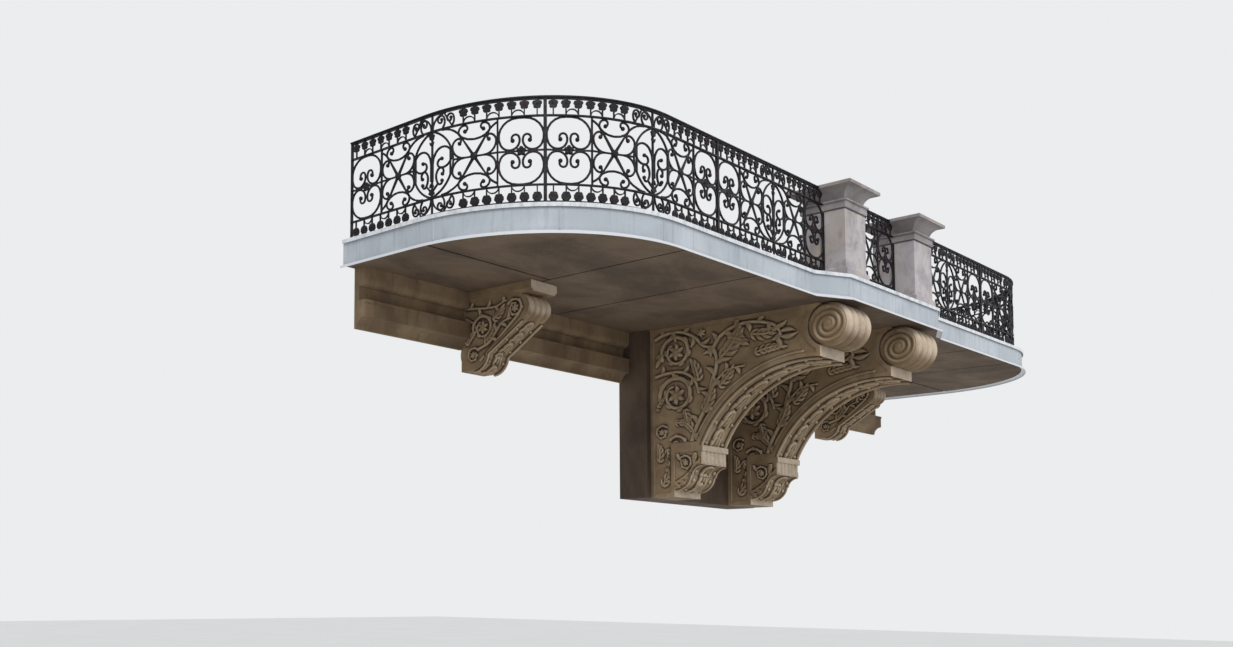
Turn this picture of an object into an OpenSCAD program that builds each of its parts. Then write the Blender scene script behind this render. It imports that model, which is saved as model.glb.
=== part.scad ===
// Facade balcony: rounded slab with canted centre, sheet metal fascia, wrought iron
// railing in scroll panels, two stone piers, two large carved consoles and two small
// brackets. The wall plane is Y = 0, the balcony stands out toward -Y, +Z is up.
// The origin is the middle of the slab's back face.

/* [Slab] */
// Half width of the slab at the fascia face
half_w = 5700; // [4400:50:7000]
// Depth of the wings from the wall to the fascia face
wing_depth = 2600; // [2350:10:3200]
// Radius of the rounded plan corner at the fascia face
corner_r = 1640; // [1200:10:1900]
// How far the centre stands in front of the wings
centre_proj = 190; // [120:5:300]
// Half width of the straight front of the centre
centre_half = 1115; // [1105:5:1300]
// Length along the wall of each canted return of the centre
cant_run = 425; // [300:5:600]
// Thickness of the slab
slab_t = 240; // [180:5:320]
// Width of a joint groove in the soffit
groove_w = 26; // [12:1:40]
// Depth of a joint groove in the soffit
groove_d = 16; // [6:1:30]
// Distance from the slab's end to the joint in front of a small bracket
groove_inset = 1800; // [1500:10:2000]
// Place of the joint at mid wing, as a share of the outer joint's distance
groove_share = 0.67; // [0.58:0.01:0.76]
// Distance from the wall to the joint that runs along the outer bays
groove_y = 1050; // [900:10:1400]

/* [Fascia] */
// Thickness of the fascia sheet with its backing
fascia_t = 12; // [4:1:25]
// Drop of the fascia below the soffit
fascia_drop = 30; // [15:1:60]
// How far the drip hem stands out
hem_out = 42; // [20:1:70]
// Height of the drip hem
hem_h = 40; // [25:1:60]
// Thickness of the hem lip and of the top flashing
sheet_t = 6; // [2:1:10]
// Width of the flashing that lies on the deck
flash_leg = 72; // [30:1:80]
// How far the flashing nose stands out from the fascia
flash_nose = 20; // [12:1:40]
// Height of the turned down flashing nose
flash_drop = 30; // [15:1:50]

/* [Railing] */
// Distance from the fascia face to the railing centre line
rail_inset = 100; // [90:1:140]
// Height of the handrail top above the deck
rail_h = 985; // [850:5:1150]
// Height of the bottom bar above the deck
bottom_bar_z = 45; // [30:1:80]
// Height of each frieze from bar to bar
frieze_h = 152; // [130:1:190]
// Depth of the flat bars, across the railing
bar_depth = 30; // [24:1:40]
// Thickness of the flat bars
bar_t = 12; // [8:1:18]
// Width of the handrail
handrail_w = 48; // [36:1:70]
// Height of the handrail
handrail_h = 18; // [10:1:30]
// Width of the upright at each end of a bay
post_w = 14; // [10:1:24]
// Width of a scroll bar seen from the front
scroll_w = 14; // [10:1:18]
// Depth of the scroll work, across the railing
scroll_depth = 14; // [10:1:20]
// Share of a half bay taken by the ring panel
ring_share = 0.39; // [0.36:0.01:0.42]
// Share of a half bay taken by the star panel
star_share = 0.41; // [0.38:0.01:0.44]
// Radius of a frieze rosette
rosette_r = 44; // [34:1:50]
// Spacing of the frieze rosettes
rosette_pitch = 110; // [100:1:125]

/* [Stone piers] */
// Distance from the middle to the centre of each stone pier
pier_x = 855; // [800:5:900]
// Side of the square pier shaft
pier_w = 474; // [380:2:500]
// Height of the base block of the pier
pier_base_h = 125; // [80:5:180]
// How far the pier base stands out from the shaft
pier_base_out = 25; // [10:1:40]
// Side of the pier cap
cap_w = 710; // [600:2:760]
// Height of the pier cap
cap_h = 285; // [220:5:340]
// Height of the whole pier above the deck
pier_h = 1010; // [880:5:1200]

/* [Consoles] */
// Width of each large console
console_w = 555; // [420:5:640]
// Width of the backing pier behind the consoles, from the middle
backing_half = 1210; // [1160:5:1350]
// Depth of the backing pier
backing_d = 380; // [250:5:460]
// Height of the consoles below the soffit
console_h = 1970; // [1860:10:2120]
// Distance from the fascia face of the centre back to the axis of the roll
volute_in = 240; // [220:5:400]
// Radius of the roll
volute_r = 235; // [200:1:240]
// Radius of the underside arch
arch_r = 1391; // [1330:1:1420]
// Distance from the beak back to the centre of the underside arch
arch_back = 171; // [130:1:240]
// Distance from the soffit down to the centre of the underside arch
arch_drop = 1950; // [1930:2:2010]
// Width of the plain border around the carved side panels
border_w = 46; // [30:1:70]
// Depth of the recessed side panels
panel_d = 14; // [6:1:24]
// Height of the neck band above the foot of the console
neck_up = 570; // [520:2:620]
// Height of the neck band
neck_h = 65; // [40:1:90]
// How far the coil stands out on each end of the roll
coil_out = 9; // [4:1:16]

/* [Small brackets] */
// Distance from the slab's end to the centre of each small bracket
bracket_inset = 1860; // [1600:5:2100]
// Width of a small bracket
bracket_w = 350; // [300:2:440]
// Depth of a small bracket from the wall
bracket_d = 910; // [800:5:1050]
// Height of a small bracket with its abacus
bracket_h = 810; // [740:2:880]
// Height of the abacus on a small bracket
abacus_h = 105; // [60:1:120]
// How far the abacus stands out from the bracket
abacus_out = 30; // [15:1:50]

/* [Bed moulding] */
// Height of the bed moulding under the slab
bed_h = 585; // [500:5:680]
// Depth of the bed moulding at its top
bed_d = 150; // [120:2:220]

/* [Hidden] */
$fn = 48;

iron = [0.10, 0.09, 0.11];
sheet_blue = [0.66, 0.71, 0.76];
sheet_white = [0.88, 0.89, 0.90];
stone_grey = [0.63, 0.60, 0.60];
stone_warm = [0.72, 0.62, 0.47];
plaster = [0.42, 0.37, 0.31];

deck_z = slab_t / 2;
soffit_z = -slab_t / 2;
hem_z = soffit_z - fascia_drop;
centre_depth = wing_depth + centre_proj;
cant_out = centre_half + cant_run;
cant_tan = tan(atan2(centre_proj, cant_run) / 2);
side_len = wing_depth - corner_r;
front_x = half_w - corner_r;
groove_x = half_w - groove_inset;
far = 20000;
seat_gap = 0.3;
wing_bays = 3;

// Railing line: side straight, quarter arc, front straight up to the stone pier
rail_y = wing_depth - rail_inset;
rail_r = corner_r - rail_inset;
arc_len = rail_r * PI / 2;
rail_end_x = pier_x + pier_w / 2;
rail_len = side_len + arc_len + front_x - rail_end_x;
bay_len = rail_len / wing_bays;
half_bay = bay_len / 2;
ring_len = half_bay * ring_share;
star_len = half_bay * star_share;
lancet_len = half_bay - ring_len - star_len;
low_bar_z = bottom_bar_z + frieze_h;
top_bar_z = rail_h - handrail_h - bar_t / 2;
high_bar_z = top_bar_z - frieze_h;
field_h = high_bar_z - low_bar_z;
field_z = (high_bar_z + low_bar_z) / 2;
// How far scroll work bites into the bar that it is riveted to
bite = 3;
// Radius of the round eye at the end of a scroll
eye_r = scroll_w * 0.95;
// Centre line of a scroll that leans on an upright or a bar
lean = scroll_w - bite;
// Radius of the collar where two arcs of a scroll meet, as a share of the bar
collar_share = 0.57;
// How far two trimmed panels run into each other
seam = 2;
// How much wider the bars of a lancet are, so that both sides of the seam fuse
lancet_more = 1.6;
// Share of its width by which the bow of a lancet leads into the star panel
bow_lead = 0.09;
// How far the ends of a flat panel stand outside the curved railing line
end_out = star_len * star_len / rail_r / 16;

// Plan of the slab

// Rounded wing plan, moved in by d from the fascia face
module wing_plan(d) {
  union() {
    translate([-front_x, -(wing_depth - d)])
      square([2 * front_x, wing_depth - d]);
    translate([-(half_w - d), -side_len])
      square([2 * (half_w - d), side_len]);
    for (s = [-1, 1])
      translate([s * front_x, -side_len])
        circle(r = corner_r - d, $fn = 96);
  }
}

// Canted centre plan, moved in by d
module centre_plan(d) {
  polygon([[-(cant_out - d * cant_tan), -(wing_depth - d)],
           [-(centre_half - d * cant_tan), -(centre_depth - d)],
           [centre_half - d * cant_tan, -(centre_depth - d)],
           [cant_out - d * cant_tan, -(wing_depth - d)],
           [cant_out - d * cant_tan, -side_len],
           [-(cant_out - d * cant_tan), -side_len]]);
}

// The half plane on the wall side, which trims the plan circles
module wall_side() {
  translate([-far / 2, -far]) square([far, far]);
}

module slab_plan(d) {
  intersection() {
    union() {
      wing_plan(d);
      centre_plan(d);
    }
    wall_side();
  }
}

// Profiles that run round the slab edge

// Runs a section round the right wing: x of the section points out, y is height
module wing_run() {
  translate([half_w, 0, 0])
    rotate([90, 0, 0])
      linear_extrude(side_len)
        children();
  translate([front_x, -side_len, 0])
    rotate([0, 0, -90])
      rotate_extrude(angle = 90, $fn = 96)
        translate([corner_r, 0])
          children();
  intersection() {
    translate([front_x, -wing_depth, 0])
      rotate([90, 0, -90])
        linear_extrude(front_x)
          children();
    mitre_zone([[far, far], [far, -far],
                [cant_out + cant_tan * far, -wing_depth - far],
                [cant_out - cant_tan * wing_depth / 2, -wing_depth / 2]]);
  }
}

// Runs a section round the canted centre, with mitred corners
module centre_run() {
  out = 400;
  back = 400;
  intersection() {
    translate([centre_half + out, -centre_depth, 0])
      rotate([90, 0, -90])
        linear_extrude(2 * (centre_half + out))
          children();
    mitre_zone([[-(centre_half + cant_tan * out), -centre_depth - out],
                [centre_half + cant_tan * out, -centre_depth - out],
                [centre_half - cant_tan * back, -centre_depth + back],
                [-(centre_half - cant_tan * back), -centre_depth + back]]);
  }
  for (s = [0, 1])
    mirror([s, 0, 0])
      intersection() {
        translate([centre_half, -centre_depth, 0])
          rotate([0, 0, atan2(centre_proj, cant_run)])
            translate([cant_run + out + back, 0, 0])
              rotate([90, 0, -90])
                linear_extrude(cant_run + 2 * (out + back))
                  children();
        mitre_zone([[centre_half + cant_tan * out, -centre_depth - out],
                    [cant_out + cant_tan * out, -wing_depth - out],
                    [cant_out - cant_tan * back, -wing_depth + back],
                    [centre_half - cant_tan * back, -centre_depth + back]]);
      }
}

module mitre_zone(points) {
  translate([0, 0, -far / 2])
    linear_extrude(far)
      polygon(points);
}

// Section of the fascia sheet with its drip hem
module fascia_section() {
  polygon([[-fascia_t, deck_z], [0, deck_z],
           [0, hem_z + hem_h], [hem_out, hem_z + hem_h / 2],
           [hem_out, hem_z], [hem_out - sheet_t, hem_z],
           [hem_out - sheet_t, hem_z + hem_h / 2 - sheet_t],
           [-fascia_t, hem_z + hem_h - sheet_t]]);
}

// Section of the top flashing: a leg on the deck and a turned down nose
module flashing_section(leg) {
  polygon([[-leg, deck_z], [-leg, deck_z + sheet_t],
           [flash_nose, deck_z + sheet_t], [flash_nose, deck_z - flash_drop],
           [flash_nose - sheet_t, deck_z - flash_drop],
           [flash_nose - sheet_t, deck_z]]);
}

// Slab, fascia and flashing

module slab() {
  color(plaster)
    difference() {
      translate([0, 0, soffit_z])
        linear_extrude(slab_t)
          slab_plan(fascia_t + seat_gap);
      for (s = [-1, 1]) {
        for (x = [groove_x * groove_share, groove_x])
          soffit_groove(s * x);
        translate([s > 0 ? groove_x : -half_w, -groove_y - groove_w / 2, soffit_z - 1])
          cube([half_w - groove_x, groove_w, groove_d + 1]);
      }
    }
}

// One groove in the soffit that runs from the wall to the front
module soffit_groove(x) {
  translate([x - groove_w / 2, -wing_depth + 2 * fascia_t, soffit_z - 1])
    cube([groove_w, wing_depth, groove_d + 1]);
}

module fascia_right() {
  color(sheet_blue) wing_run() fascia_section();
}

module fascia_left() {
  mirror([1, 0, 0]) fascia_right();
}

module fascia_centre() {
  color(sheet_blue) centre_run() fascia_section();
}

module flashing_right() {
  color(sheet_white) wing_run() flashing_section(flash_leg);
}

module flashing_left() {
  mirror([1, 0, 0]) flashing_right();
}

module flashing_centre() {
  color(sheet_white) centre_run() flashing_section(fascia_t);
}

// Stone piers

module square_block(w, h) {
  translate([-w / 2, -w / 2, 0]) cube([w, w, h]);
}

// Shaft section revolved as four mitred faces: section x is distance from the axis
module four_sided(reach) {
  intersection_for (a = [0, 90])
    rotate([0, 0, a])
      rotate([90, 0, 0])
        linear_extrude(2 * reach, center = true)
          children();
}

// Section of the pier base, grown sideways by d
module pier_base_section(d = 0) {
  w = pier_w / 2 + pier_base_out;
  flare = pier_base_out * 1.6;
  difference() {
    translate([-w - d, 0]) square([2 * (w + d), pier_base_h]);
    for (s = [-1, 1])
      translate([s * (w + flare - pier_base_out + d), pier_base_h])
        circle(r = flare);
  }
}

module pier_base() {
  color(stone_grey)
    translate([pier_x, -rail_y, deck_z])
      four_sided(pier_w)
        pier_base_section();
}

module pier_shaft() {
  color(stone_grey)
    translate([pier_x, -rail_y, deck_z + pier_base_h])
      square_block(pier_w, pier_h - pier_base_h - cap_h);
}

// Cap section from the bottom: groove, band, fillet, cavetto, slab and weathered top,
// grown by d
module cap_section(d = 0) {
  w = cap_w / 2;
  s = pier_w / 2;
  groove = cap_h * 0.05;
  band = cap_h * 0.25;
  fillet = cap_h * 0.06;
  slab = cap_h * 0.12;
  cove_z = groove + band + fillet;
  cove = cap_h - slab - fillet - cove_z;
  translate([-s + groove - d, 0]) square([2 * (s - groove + d), cap_h]);
  translate([-(s + groove + d), groove - d]) square([2 * (s + groove + d), band + 2 * d]);
  translate([-(s + fillet + groove + d), groove + band - d])
    square([2 * (s + fillet + groove + d), fillet + 2 * d]);
  difference() {
    translate([-w - d, cove_z])
      square([2 * (w + d), cap_h - fillet - cove_z + d]);
    for (m = [-1, 1])
      translate([m * w, cove_z])
        circle(r = cove - d);
  }
  polygon([[-w - d, cap_h - fillet + d], [w + d, cap_h - fillet + d],
           [s, cap_h + d], [-s, cap_h + d]]);
}

module pier_cap() {
  color(stone_grey)
    translate([pier_x, -rail_y, deck_z + pier_h - cap_h])
      four_sided(cap_w)
        cap_section();
}

module pier_right_base() { pier_base(); }
module pier_right_shaft() { pier_shaft(); }
module pier_right_cap() { pier_cap(); }
module pier_left_base() { mirror([1, 0, 0]) pier_base(); }
module pier_left_shaft() { mirror([1, 0, 0]) pier_shaft(); }
module pier_left_cap() { mirror([1, 0, 0]) pier_cap(); }

// What the railing is cut to where it meets the base and the cap of the right pier
module pier_clearance() {
  translate([pier_x, -rail_y, deck_z])
    four_sided(pier_w)
      pier_base_section(seat_gap);
  translate([pier_x, -rail_y, deck_z + pier_h - cap_h]) {
    four_sided(cap_w)
      cap_section(seat_gap);
    square_block(pier_w + 2 * (post_w + seat_gap), cap_h);
  }
}

// Wrought iron

// Flat arc of radius r from angle a0 to a1, width w
module arc(r, a0, a1, w) {
  reach = (r + w) / cos(min(45, (a1 - a0) / 8)) * 1.2;
  intersection() {
    difference() {
      circle(r = r + w / 2);
      circle(r = r - w / 2);
    }
    polygon(concat([[0, 0]],
      [for (i = [0:8]) reach * [cos(a0 + (a1 - a0) * i / 8), sin(a0 + (a1 - a0) * i / 8)]]));
  }
}

// Scroll made of arcs that run on smoothly: each step is [radius, turn], turn over 0
// turns left. It ends in a round eye.
module scroll(p, heading, steps, w, eye, i = 0) {
  if (i < len(steps)) {
    r = steps[i][0];
    turn = steps[i][1];
    side = turn > 0 ? 1 : -1;
    c = p + r * side * [-sin(heading), cos(heading)];
    a0 = heading - side * 90;
    if (i > 0)
      translate(p) circle(r = w * collar_share);
    translate(c)
      arc(r, side > 0 ? a0 : a0 + turn, side > 0 ? a0 + turn : a0, w);
    q = c + r * [cos(a0 + turn), sin(a0 + turn)];
    scroll(q, heading + turn, steps, w, eye, i + 1);
  } else {
    translate(p) circle(r = eye);
  }
}

module bar_between(p, q, w) {
  d = q - p;
  translate(p)
    rotate([0, 0, atan2(d[1], d[0])])
      translate([0, -w / 2])
        square([norm(d), w]);
}

module rosette(r) {
  circle(r = r * 0.5);
  for (k = [0:4])
    rotate([0, 0, 90 + 72 * k])
      translate([r * 0.58, 0])
        circle(r = r * 0.42);
}

// Draws its children in all four quarters
module four_ways() {
  for (sx = [0, 1])
    for (sy = [0, 1])
      mirror([sx, 0, 0])
        mirror([0, sy, 0])
          children();
}

// Draws its children and their mirror image left to right
module both_sides() {
  children();
  mirror([1, 0, 0]) children();
}

// Ring panel: an upper and a lower ring that coil inward, with a rosette between them
module ring_panel(w, h) {
  x_side = w / 2 - lean;
  y_top = h / 2 - bar_t / 2 - scroll_w / 2 + bite;
  big = x_side * 0.84;
  mid = big * 0.53;
  small = big * 0.20;
  x_mid = x_side - big;
  dip = asin((y_top - big - mid - lean) / (big - mid));
  four_ways()
    scroll([x_mid, y_top], 0, [[big, -90 - dip], [mid, dip - 200], [small, -200]],
           scroll_w, eye_r);
  for (s = [-1, 1])
    bar_between([-x_mid - bite, s * y_top], [x_mid + bite, s * y_top], scroll_w);
  rosette(rosette_r);
  bar_between([-w / 2, 0], [w / 2, 0], scroll_w);
}

// Tapered arm from the boss to p
module star_arm(p, b) {
  rotate([0, 0, atan2(p[1], p[0])])
    polygon([[0, -b], [norm(p), -b * 0.45],
             [norm(p), b * 0.45], [0, b]]);
}

// Star panel: a boss with arms, stems that sweep to the corners and eight scrolls,
// centred on [0, 0]. The stems run on past the panel by half a lancet.
module star_panel(w, h, b, short = 0) {
  node_x = w * 0.28;
  node_y = h * 0.31;
  y_top = h / 2 - bar_t / 2 - scroll_w / 2 + bite;
  lie = atan2(node_y, node_x);
  sweep = (y_top - node_y) / (1 - cos(lie));
  u_turn = 2 * atan2(node_y - h * 0.253, node_x);
  u_r = node_x / sin(u_turn);
  side_r = w * 0.258;
  circle(r = b * 2.2);
  bar_between([-w / 2, 0], [w / 2 - short, 0], b);
  four_ways() {
    star_arm([node_x, node_y], b);
    translate([node_x, node_y]) circle(r = b * 0.95);
    scroll([node_x, node_y], lie, [[sweep, -lie]], b, b / 2);
    scroll([0, h * 0.253], 0, [[u_r, u_turn], [w * 0.127, 150], [w * 0.064, 170]],
           b, b * 0.95);
    scroll([w / 2 - lean - side_r, 0], 0, [[side_r, 90], [w * 0.161, 75], [w * 0.055, 170]],
           b, b * 0.95);
  }
}

// Lancet panel from x = 0 to the junction at x = w: a tall bow, a coil and a small scroll
module lancet_panel(w, h, b) {
  tall = h - bar_t;
  lead = w * bow_lead;
  sag = w - lean + lead;
  bow = (tall * tall / 4 + sag * sag) / (2 * sag);
  open = asin(tall / 2 / bow);
  coil = w * 0.445;
  back = w * 0.77;
  translate([bow - lead, 0])
    arc(bow, 180 - open, 180 + open, b);
  scroll([w - lean, 0], 90, [[w * 0.8, 40], [coil, 250], [coil * 0.42, 170]],
         b, b * 0.95);
  bar_between([w - lean, -h * 0.24], [w - lean, bite], b);
  translate([w - lean, -h * 0.24]) circle(r = b / 2);
  scroll([back, -h * 0.19], 90, [[w * 0.43, 40], [w * 0.16, 190]], b, b * 0.95);
  scroll([back, -h * 0.19], -90, [[w * 0.57, -35], [w * 0.115, -160]], b, b * 0.95);
  bar_between([back - w * 0.10, -h * 0.30], [w, -h * 0.42], b);
}

// Leaf knots on the upright where two lancets meet, centred on [0, 0]
module junction(h) {
  for (s = [0, 1])
    mirror([0, s, 0]) {
      translate([0, h * 0.42]) rosette(scroll_w * 2.4);
      for (m = [-1, 1])
        translate([m * scroll_w * 0.9, h * 0.31])
          rotate([0, 0, -m * 25])
            hanging_leaf(scroll_w * 1.1, scroll_w * 3.4);
    }
}

// Pointed leaf made of two arcs, w wide and l long, centred on [0, 0]
module hanging_leaf(w, l) {
  r = (l * l / 4 + w * w / 4) / w;
  intersection() {
    translate([r - w / 2, 0]) circle(r = r);
    translate([w / 2 - r, 0]) circle(r = r);
  }
}

// One rosette of the upper frieze on its stem, bar centre at y = 0
module frieze_rosette(h) {
  translate([0, -bar_t / 2 - rosette_r + bite]) rosette(rosette_r);
  bar_between([0, -bar_t / 2 - 1.6 * rosette_r], [0, -h], scroll_w * 0.8);
}

// Small arch that springs from the stems of two rosettes
module frieze_arch(step, h) {
  translate([0, -h]) arc(step / 2, 0, 180, scroll_w * 0.7);
}

// Radius of the frieze arch that runs from the junction up to the bar above
function arch_reach(h) = h - bar_t - scroll_w + 2 * bite;

// Two coils of the upper frieze with stems that lean to the junction at x = w
module frieze_scrolls(w, h) {
  y_low = -h + bar_t / 2 + scroll_w / 2 - bite;
  coil = (h - bar_t) * 0.243;
  for (k = [0.22, 0.58])
    scroll([w * k, y_low], 135, [[coil * 2.35, -75], [coil, -200], [coil * 0.56, -160]],
           scroll_w, eye_r * 0.9);
  bar_between([w * 0.22 - bite, y_low - bite], [w * 0.53, -bar_t / 2], scroll_w * 0.9);
  translate([w - lean - arch_reach(h), y_low])
    arc(arch_reach(h), 0, 92, scroll_w * 0.9);
}

// Stands a flat pattern up in the railing plane, x along the railing
module stand_up(depth) {
  rotate([90, 0, 0])
    linear_extrude(depth, center = true)
      children();
}

// Places children at distance s along the right railing, x along it toward the
// centre, y outward. On the arc a panel of width w has its ends end_out outside.
module on_rail(s, w) {
  if (s < side_len)
    translate([half_w - rail_inset, -s, 0])
      rotate([0, 0, -90])
        children();
  else if (s < side_len + arc_len)
    let (a = (s - side_len) / rail_r * 180 / PI,
         r = w > 0 ? rail_r + end_out - w * w / rail_r / 8 : rail_r)
      translate([front_x + r * cos(a), -side_len - r * sin(a), 0])
        rotate([0, 0, -90 - a])
          children();
  else
    translate([front_x - (s - side_len - arc_len), -rail_y, 0])
      rotate([0, 0, 180])
        children();
}

// Places a flat panel of width w at distance x from the post of half bay u
module in_bay(start, u, x, w, z) {
  on_rail(u == 0 ? start + x : start + bay_len - x, w)
    translate([0, 0, z])
      stand_up(scroll_depth)
        mirror([u, 0, 0])
          children();
}

// Section of one bar of the railing at height z: x is across, centred on the line
module bar_section(depth, t, z) {
  translate([-depth / 2, z - t / 2]) square([depth, t]);
}

// A section bent round the corner of the railing through an angle
module bent_bar(angle) {
  rotate_extrude(angle = angle, $fn = 96)
    translate([rail_r, 0])
      children();
}

// Runs a section along the right railing from s0 to s1
module rail_run(s0, s1) {
  if (s0 < side_len)
    translate([half_w - rail_inset, -s0, 0])
      rotate([90, 0, 0])
        linear_extrude(min(s1, side_len) - s0)
          children();
  if (s1 > side_len && s0 < side_len + arc_len)
    let (a0 = max(0, s0 - side_len) / rail_r * 180 / PI,
         a1 = min(arc_len, s1 - side_len) / rail_r * 180 / PI)
      translate([front_x, -side_len, 0])
        if (s1 > side_len + arc_len)
          rotate([0, 0, -90]) bent_bar(90 - a0) children();
        else
          mirror([0, 1, 0])
            rotate([0, 0, a0])
              bent_bar(a1 - a0) children();
  if (s1 > side_len + arc_len)
    let (b0 = max(0, s0 - side_len - arc_len), b1 = s1 - side_len - arc_len)
      translate([front_x - b0, -rail_y, 0])
        rotate([90, 0, -90])
          linear_extrude(b1 - b0)
            children();
}

module rail_bars() {
  bar_section(bar_depth, bar_t, bottom_bar_z);
  bar_section(bar_depth, bar_t, low_bar_z);
  bar_section(bar_depth, bar_t, high_bar_z);
  bar_section(bar_depth, bar_t, top_bar_z);
}

// One bay of the right railing, counted from the wall
module rail_bay(n) {
  s0 = n * bay_len + seat_gap / 2;
  s1 = (n + 1) * bay_len - seat_gap / 2;
  start = n * bay_len;
  color(iron)
    translate([0, 0, deck_z]) {
      rail_run(s0, s1) rail_bars();
      bay_upright(s0 + post_w / 2, post_w, bar_depth - 2, 0);
      bay_upright(s1 - post_w / 2, post_w, bar_depth - 2, 0);
      bay_upright(start + half_bay, scroll_w, scroll_depth + 4, bottom_bar_z);
      in_bay(start, 0, half_bay, 2 * scroll_w, field_z) junction(field_h);
      for (u = [0:1]) {
        bay_upright(start + (u == 0 ? ring_len : bay_len - ring_len), scroll_w,
                    scroll_depth + 4, low_bar_z);
        half_bay_panels(start, u);
        half_bay_friezes(start, u);
      }
    }
}

// An upright bar at distance s, from height z to the top bar
module bay_upright(s, w, depth, z) {
  on_rail(s, 0)
    translate([-w / 2, -depth / 2, z])
      cube([w, depth, (z == low_bar_z ? high_bar_z : top_bar_z) - z]);
}

// Window of width w that trims a pattern drawn across two flat panels
module window(w, h) {
  translate([-w / 2, -h / 2]) square([w, h]);
}

module half_bay_panels(start, u) {
  in_bay(start, u, ring_len / 2, ring_len, field_z)
    ring_panel(ring_len, field_h);
  in_bay(start, u, ring_len + star_len / 2, star_len, field_z)
    intersection() {
      star_and_lancet(scroll_w);
      window(star_len + 2 * seam, field_h);
    }
  in_bay(start, u, half_bay - lancet_len / 2, lancet_len, field_z)
    intersection() {
      translate([-(star_len + lancet_len) / 2, 0]) star_and_lancet(scroll_w + lancet_more);
      window(lancet_len + 2 * seam, field_h);
    }
}

// Star and lancet drawn flat with bars b wide, centred on the star
module star_and_lancet(b) {
  star_panel(star_len, field_h, b, lancet_len * bow_lead);
  translate([star_len / 2, 0]) lancet_panel(lancet_len, field_h, b);
}

module half_bay_friezes(start, u) {
  zone = 2.5 * rosette_pitch;
  run = half_bay - post_w - zone;
  n = floor(run / rosette_pitch + 0.2);
  step = run / n;
  for (flip = [0, 1])
    let (z = flip == 0 ? top_bar_z : bottom_bar_z) {
      for (k = [0:n - 1])
        in_bay(start, u, post_w + step * (k + 0.5), step, z)
          mirror([0, flip, 0])
            frieze_rosette(frieze_h);
      for (k = [n - 1:-2:1])
        in_bay(start, u, post_w + step * k, step, z)
          mirror([0, flip, 0])
            frieze_arch(step, frieze_h);
      in_bay(start, u, half_bay - zone / 2, zone, z)
        mirror([0, flip, 0])
          translate([-zone / 2, 0])
            frieze_scrolls(zone, frieze_h);
    }
}

module rail_right_bay_1() { rail_bay(0); }
module rail_right_bay_2() { rail_bay(1); }
module rail_right_bay_3() { bay_at_pier(); }
module rail_left_bay_1() { mirror([1, 0, 0]) rail_bay(0); }
module rail_left_bay_2() { mirror([1, 0, 0]) rail_bay(1); }
module rail_left_bay_3() { mirror([1, 0, 0]) bay_at_pier(); }

// The last bay, cut to the base and the cap of the pier
module bay_at_pier() {
  color(iron)
    difference() {
      rail_bay(wing_bays - 1);
      pier_clearance();
    }
}

// Panel between the stone piers: ring, star, ring
module rail_centre_panel() {
  color(iron)
    difference() {
      centre_iron();
      both_sides() pier_clearance();
    }
}

// The iron between the piers before it is cut to them
module centre_iron() {
  w = 2 * (pier_x - pier_w / 2 - seat_gap);
  rw = (w - 2 * post_w) * 0.325;
  sw = w - 2 * post_w - 2 * rw;
  n = floor(w / rosette_pitch);
  step = (w - 2 * post_w) / n;
  translate([0, -rail_y, deck_z]) {
    for (z = [bottom_bar_z, low_bar_z, high_bar_z, top_bar_z])
      translate([-w / 2, -bar_depth / 2, z - bar_t / 2])
        cube([w, bar_depth, bar_t]);
    for (s = [-1, 1])
      translate([s * (w - post_w) / 2 - post_w / 2, -bar_depth / 2 + 1, 0])
        cube([post_w, bar_depth - 2, top_bar_z]);
    stand_up(scroll_depth) {
      translate([0, field_z])
        intersection() {
          star_panel(sw, field_h, scroll_w);
          window(sw, field_h);
        }
      both_sides() {
        translate([(sw + rw) / 2, field_z]) ring_panel(rw, field_h);
        translate([sw / 2, field_z])
          square([scroll_w, field_h - bar_t + 2 * bite], center = true);
      }
      for (flip = [0, 1])
        translate([0, flip == 0 ? top_bar_z : bottom_bar_z])
          mirror([0, flip, 0]) {
            for (k = [0:n - 1])
              translate([-w / 2 + post_w + step * (k + 0.5), 0])
                frieze_rosette(frieze_h);
            for (k = [1:2:n - 1])
              translate([-w / 2 + post_w + step * k, 0])
                frieze_arch(step, frieze_h);
          }
    }
  }
}

module handrail_section() {
  translate([0, top_bar_z + bar_t / 2]) {
    translate([-handrail_w / 2, 0]) square([handrail_w, handrail_h * 0.6]);
    polygon([[-handrail_w / 2, handrail_h * 0.6], [handrail_w / 2, handrail_h * 0.6],
             [handrail_w / 4, handrail_h], [-handrail_w / 4, handrail_h]]);
  }
}

module handrail_right() {
  color(iron)
    difference() {
      translate([0, 0, deck_z])
        rail_run(seat_gap, rail_len - seat_gap)
          handrail_section();
      pier_clearance();
    }
}

module handrail_left() {
  mirror([1, 0, 0]) handrail_right();
}

module handrail_centre() {
  w = 2 * (pier_x - pier_w / 2 - seat_gap);
  color(iron)
    difference() {
      translate([w / 2, -rail_y, deck_z])
        rotate([90, 0, -90])
          linear_extrude(w)
            handrail_section();
      both_sides() pier_clearance();
    }
}

// Consoles

// Turns an outline drawn as [distance from wall, height] into a solid of width w
module across(w) {
  rotate([90, 0, -90])
    linear_extrude(w, center = true)
      children();
}

neck_z = soffit_z - console_h + neck_up;
foot_z = soffit_z - console_h;
arch_z = soffit_z - arch_drop;
volute_z = soffit_z - volute_r - seat_gap;
volute_y = centre_depth - volute_in;
beak_y = volute_y - volute_r * 0.38;
arch_y = beak_y - arch_back;
neck_front = arch_y - sqrt(arch_r * arch_r - pow(neck_z - arch_z, 2));
column_y = backing_d + (neck_front - backing_d) * 0.49;
bell_front = neck_front + neck_h * 0.35;

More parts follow.
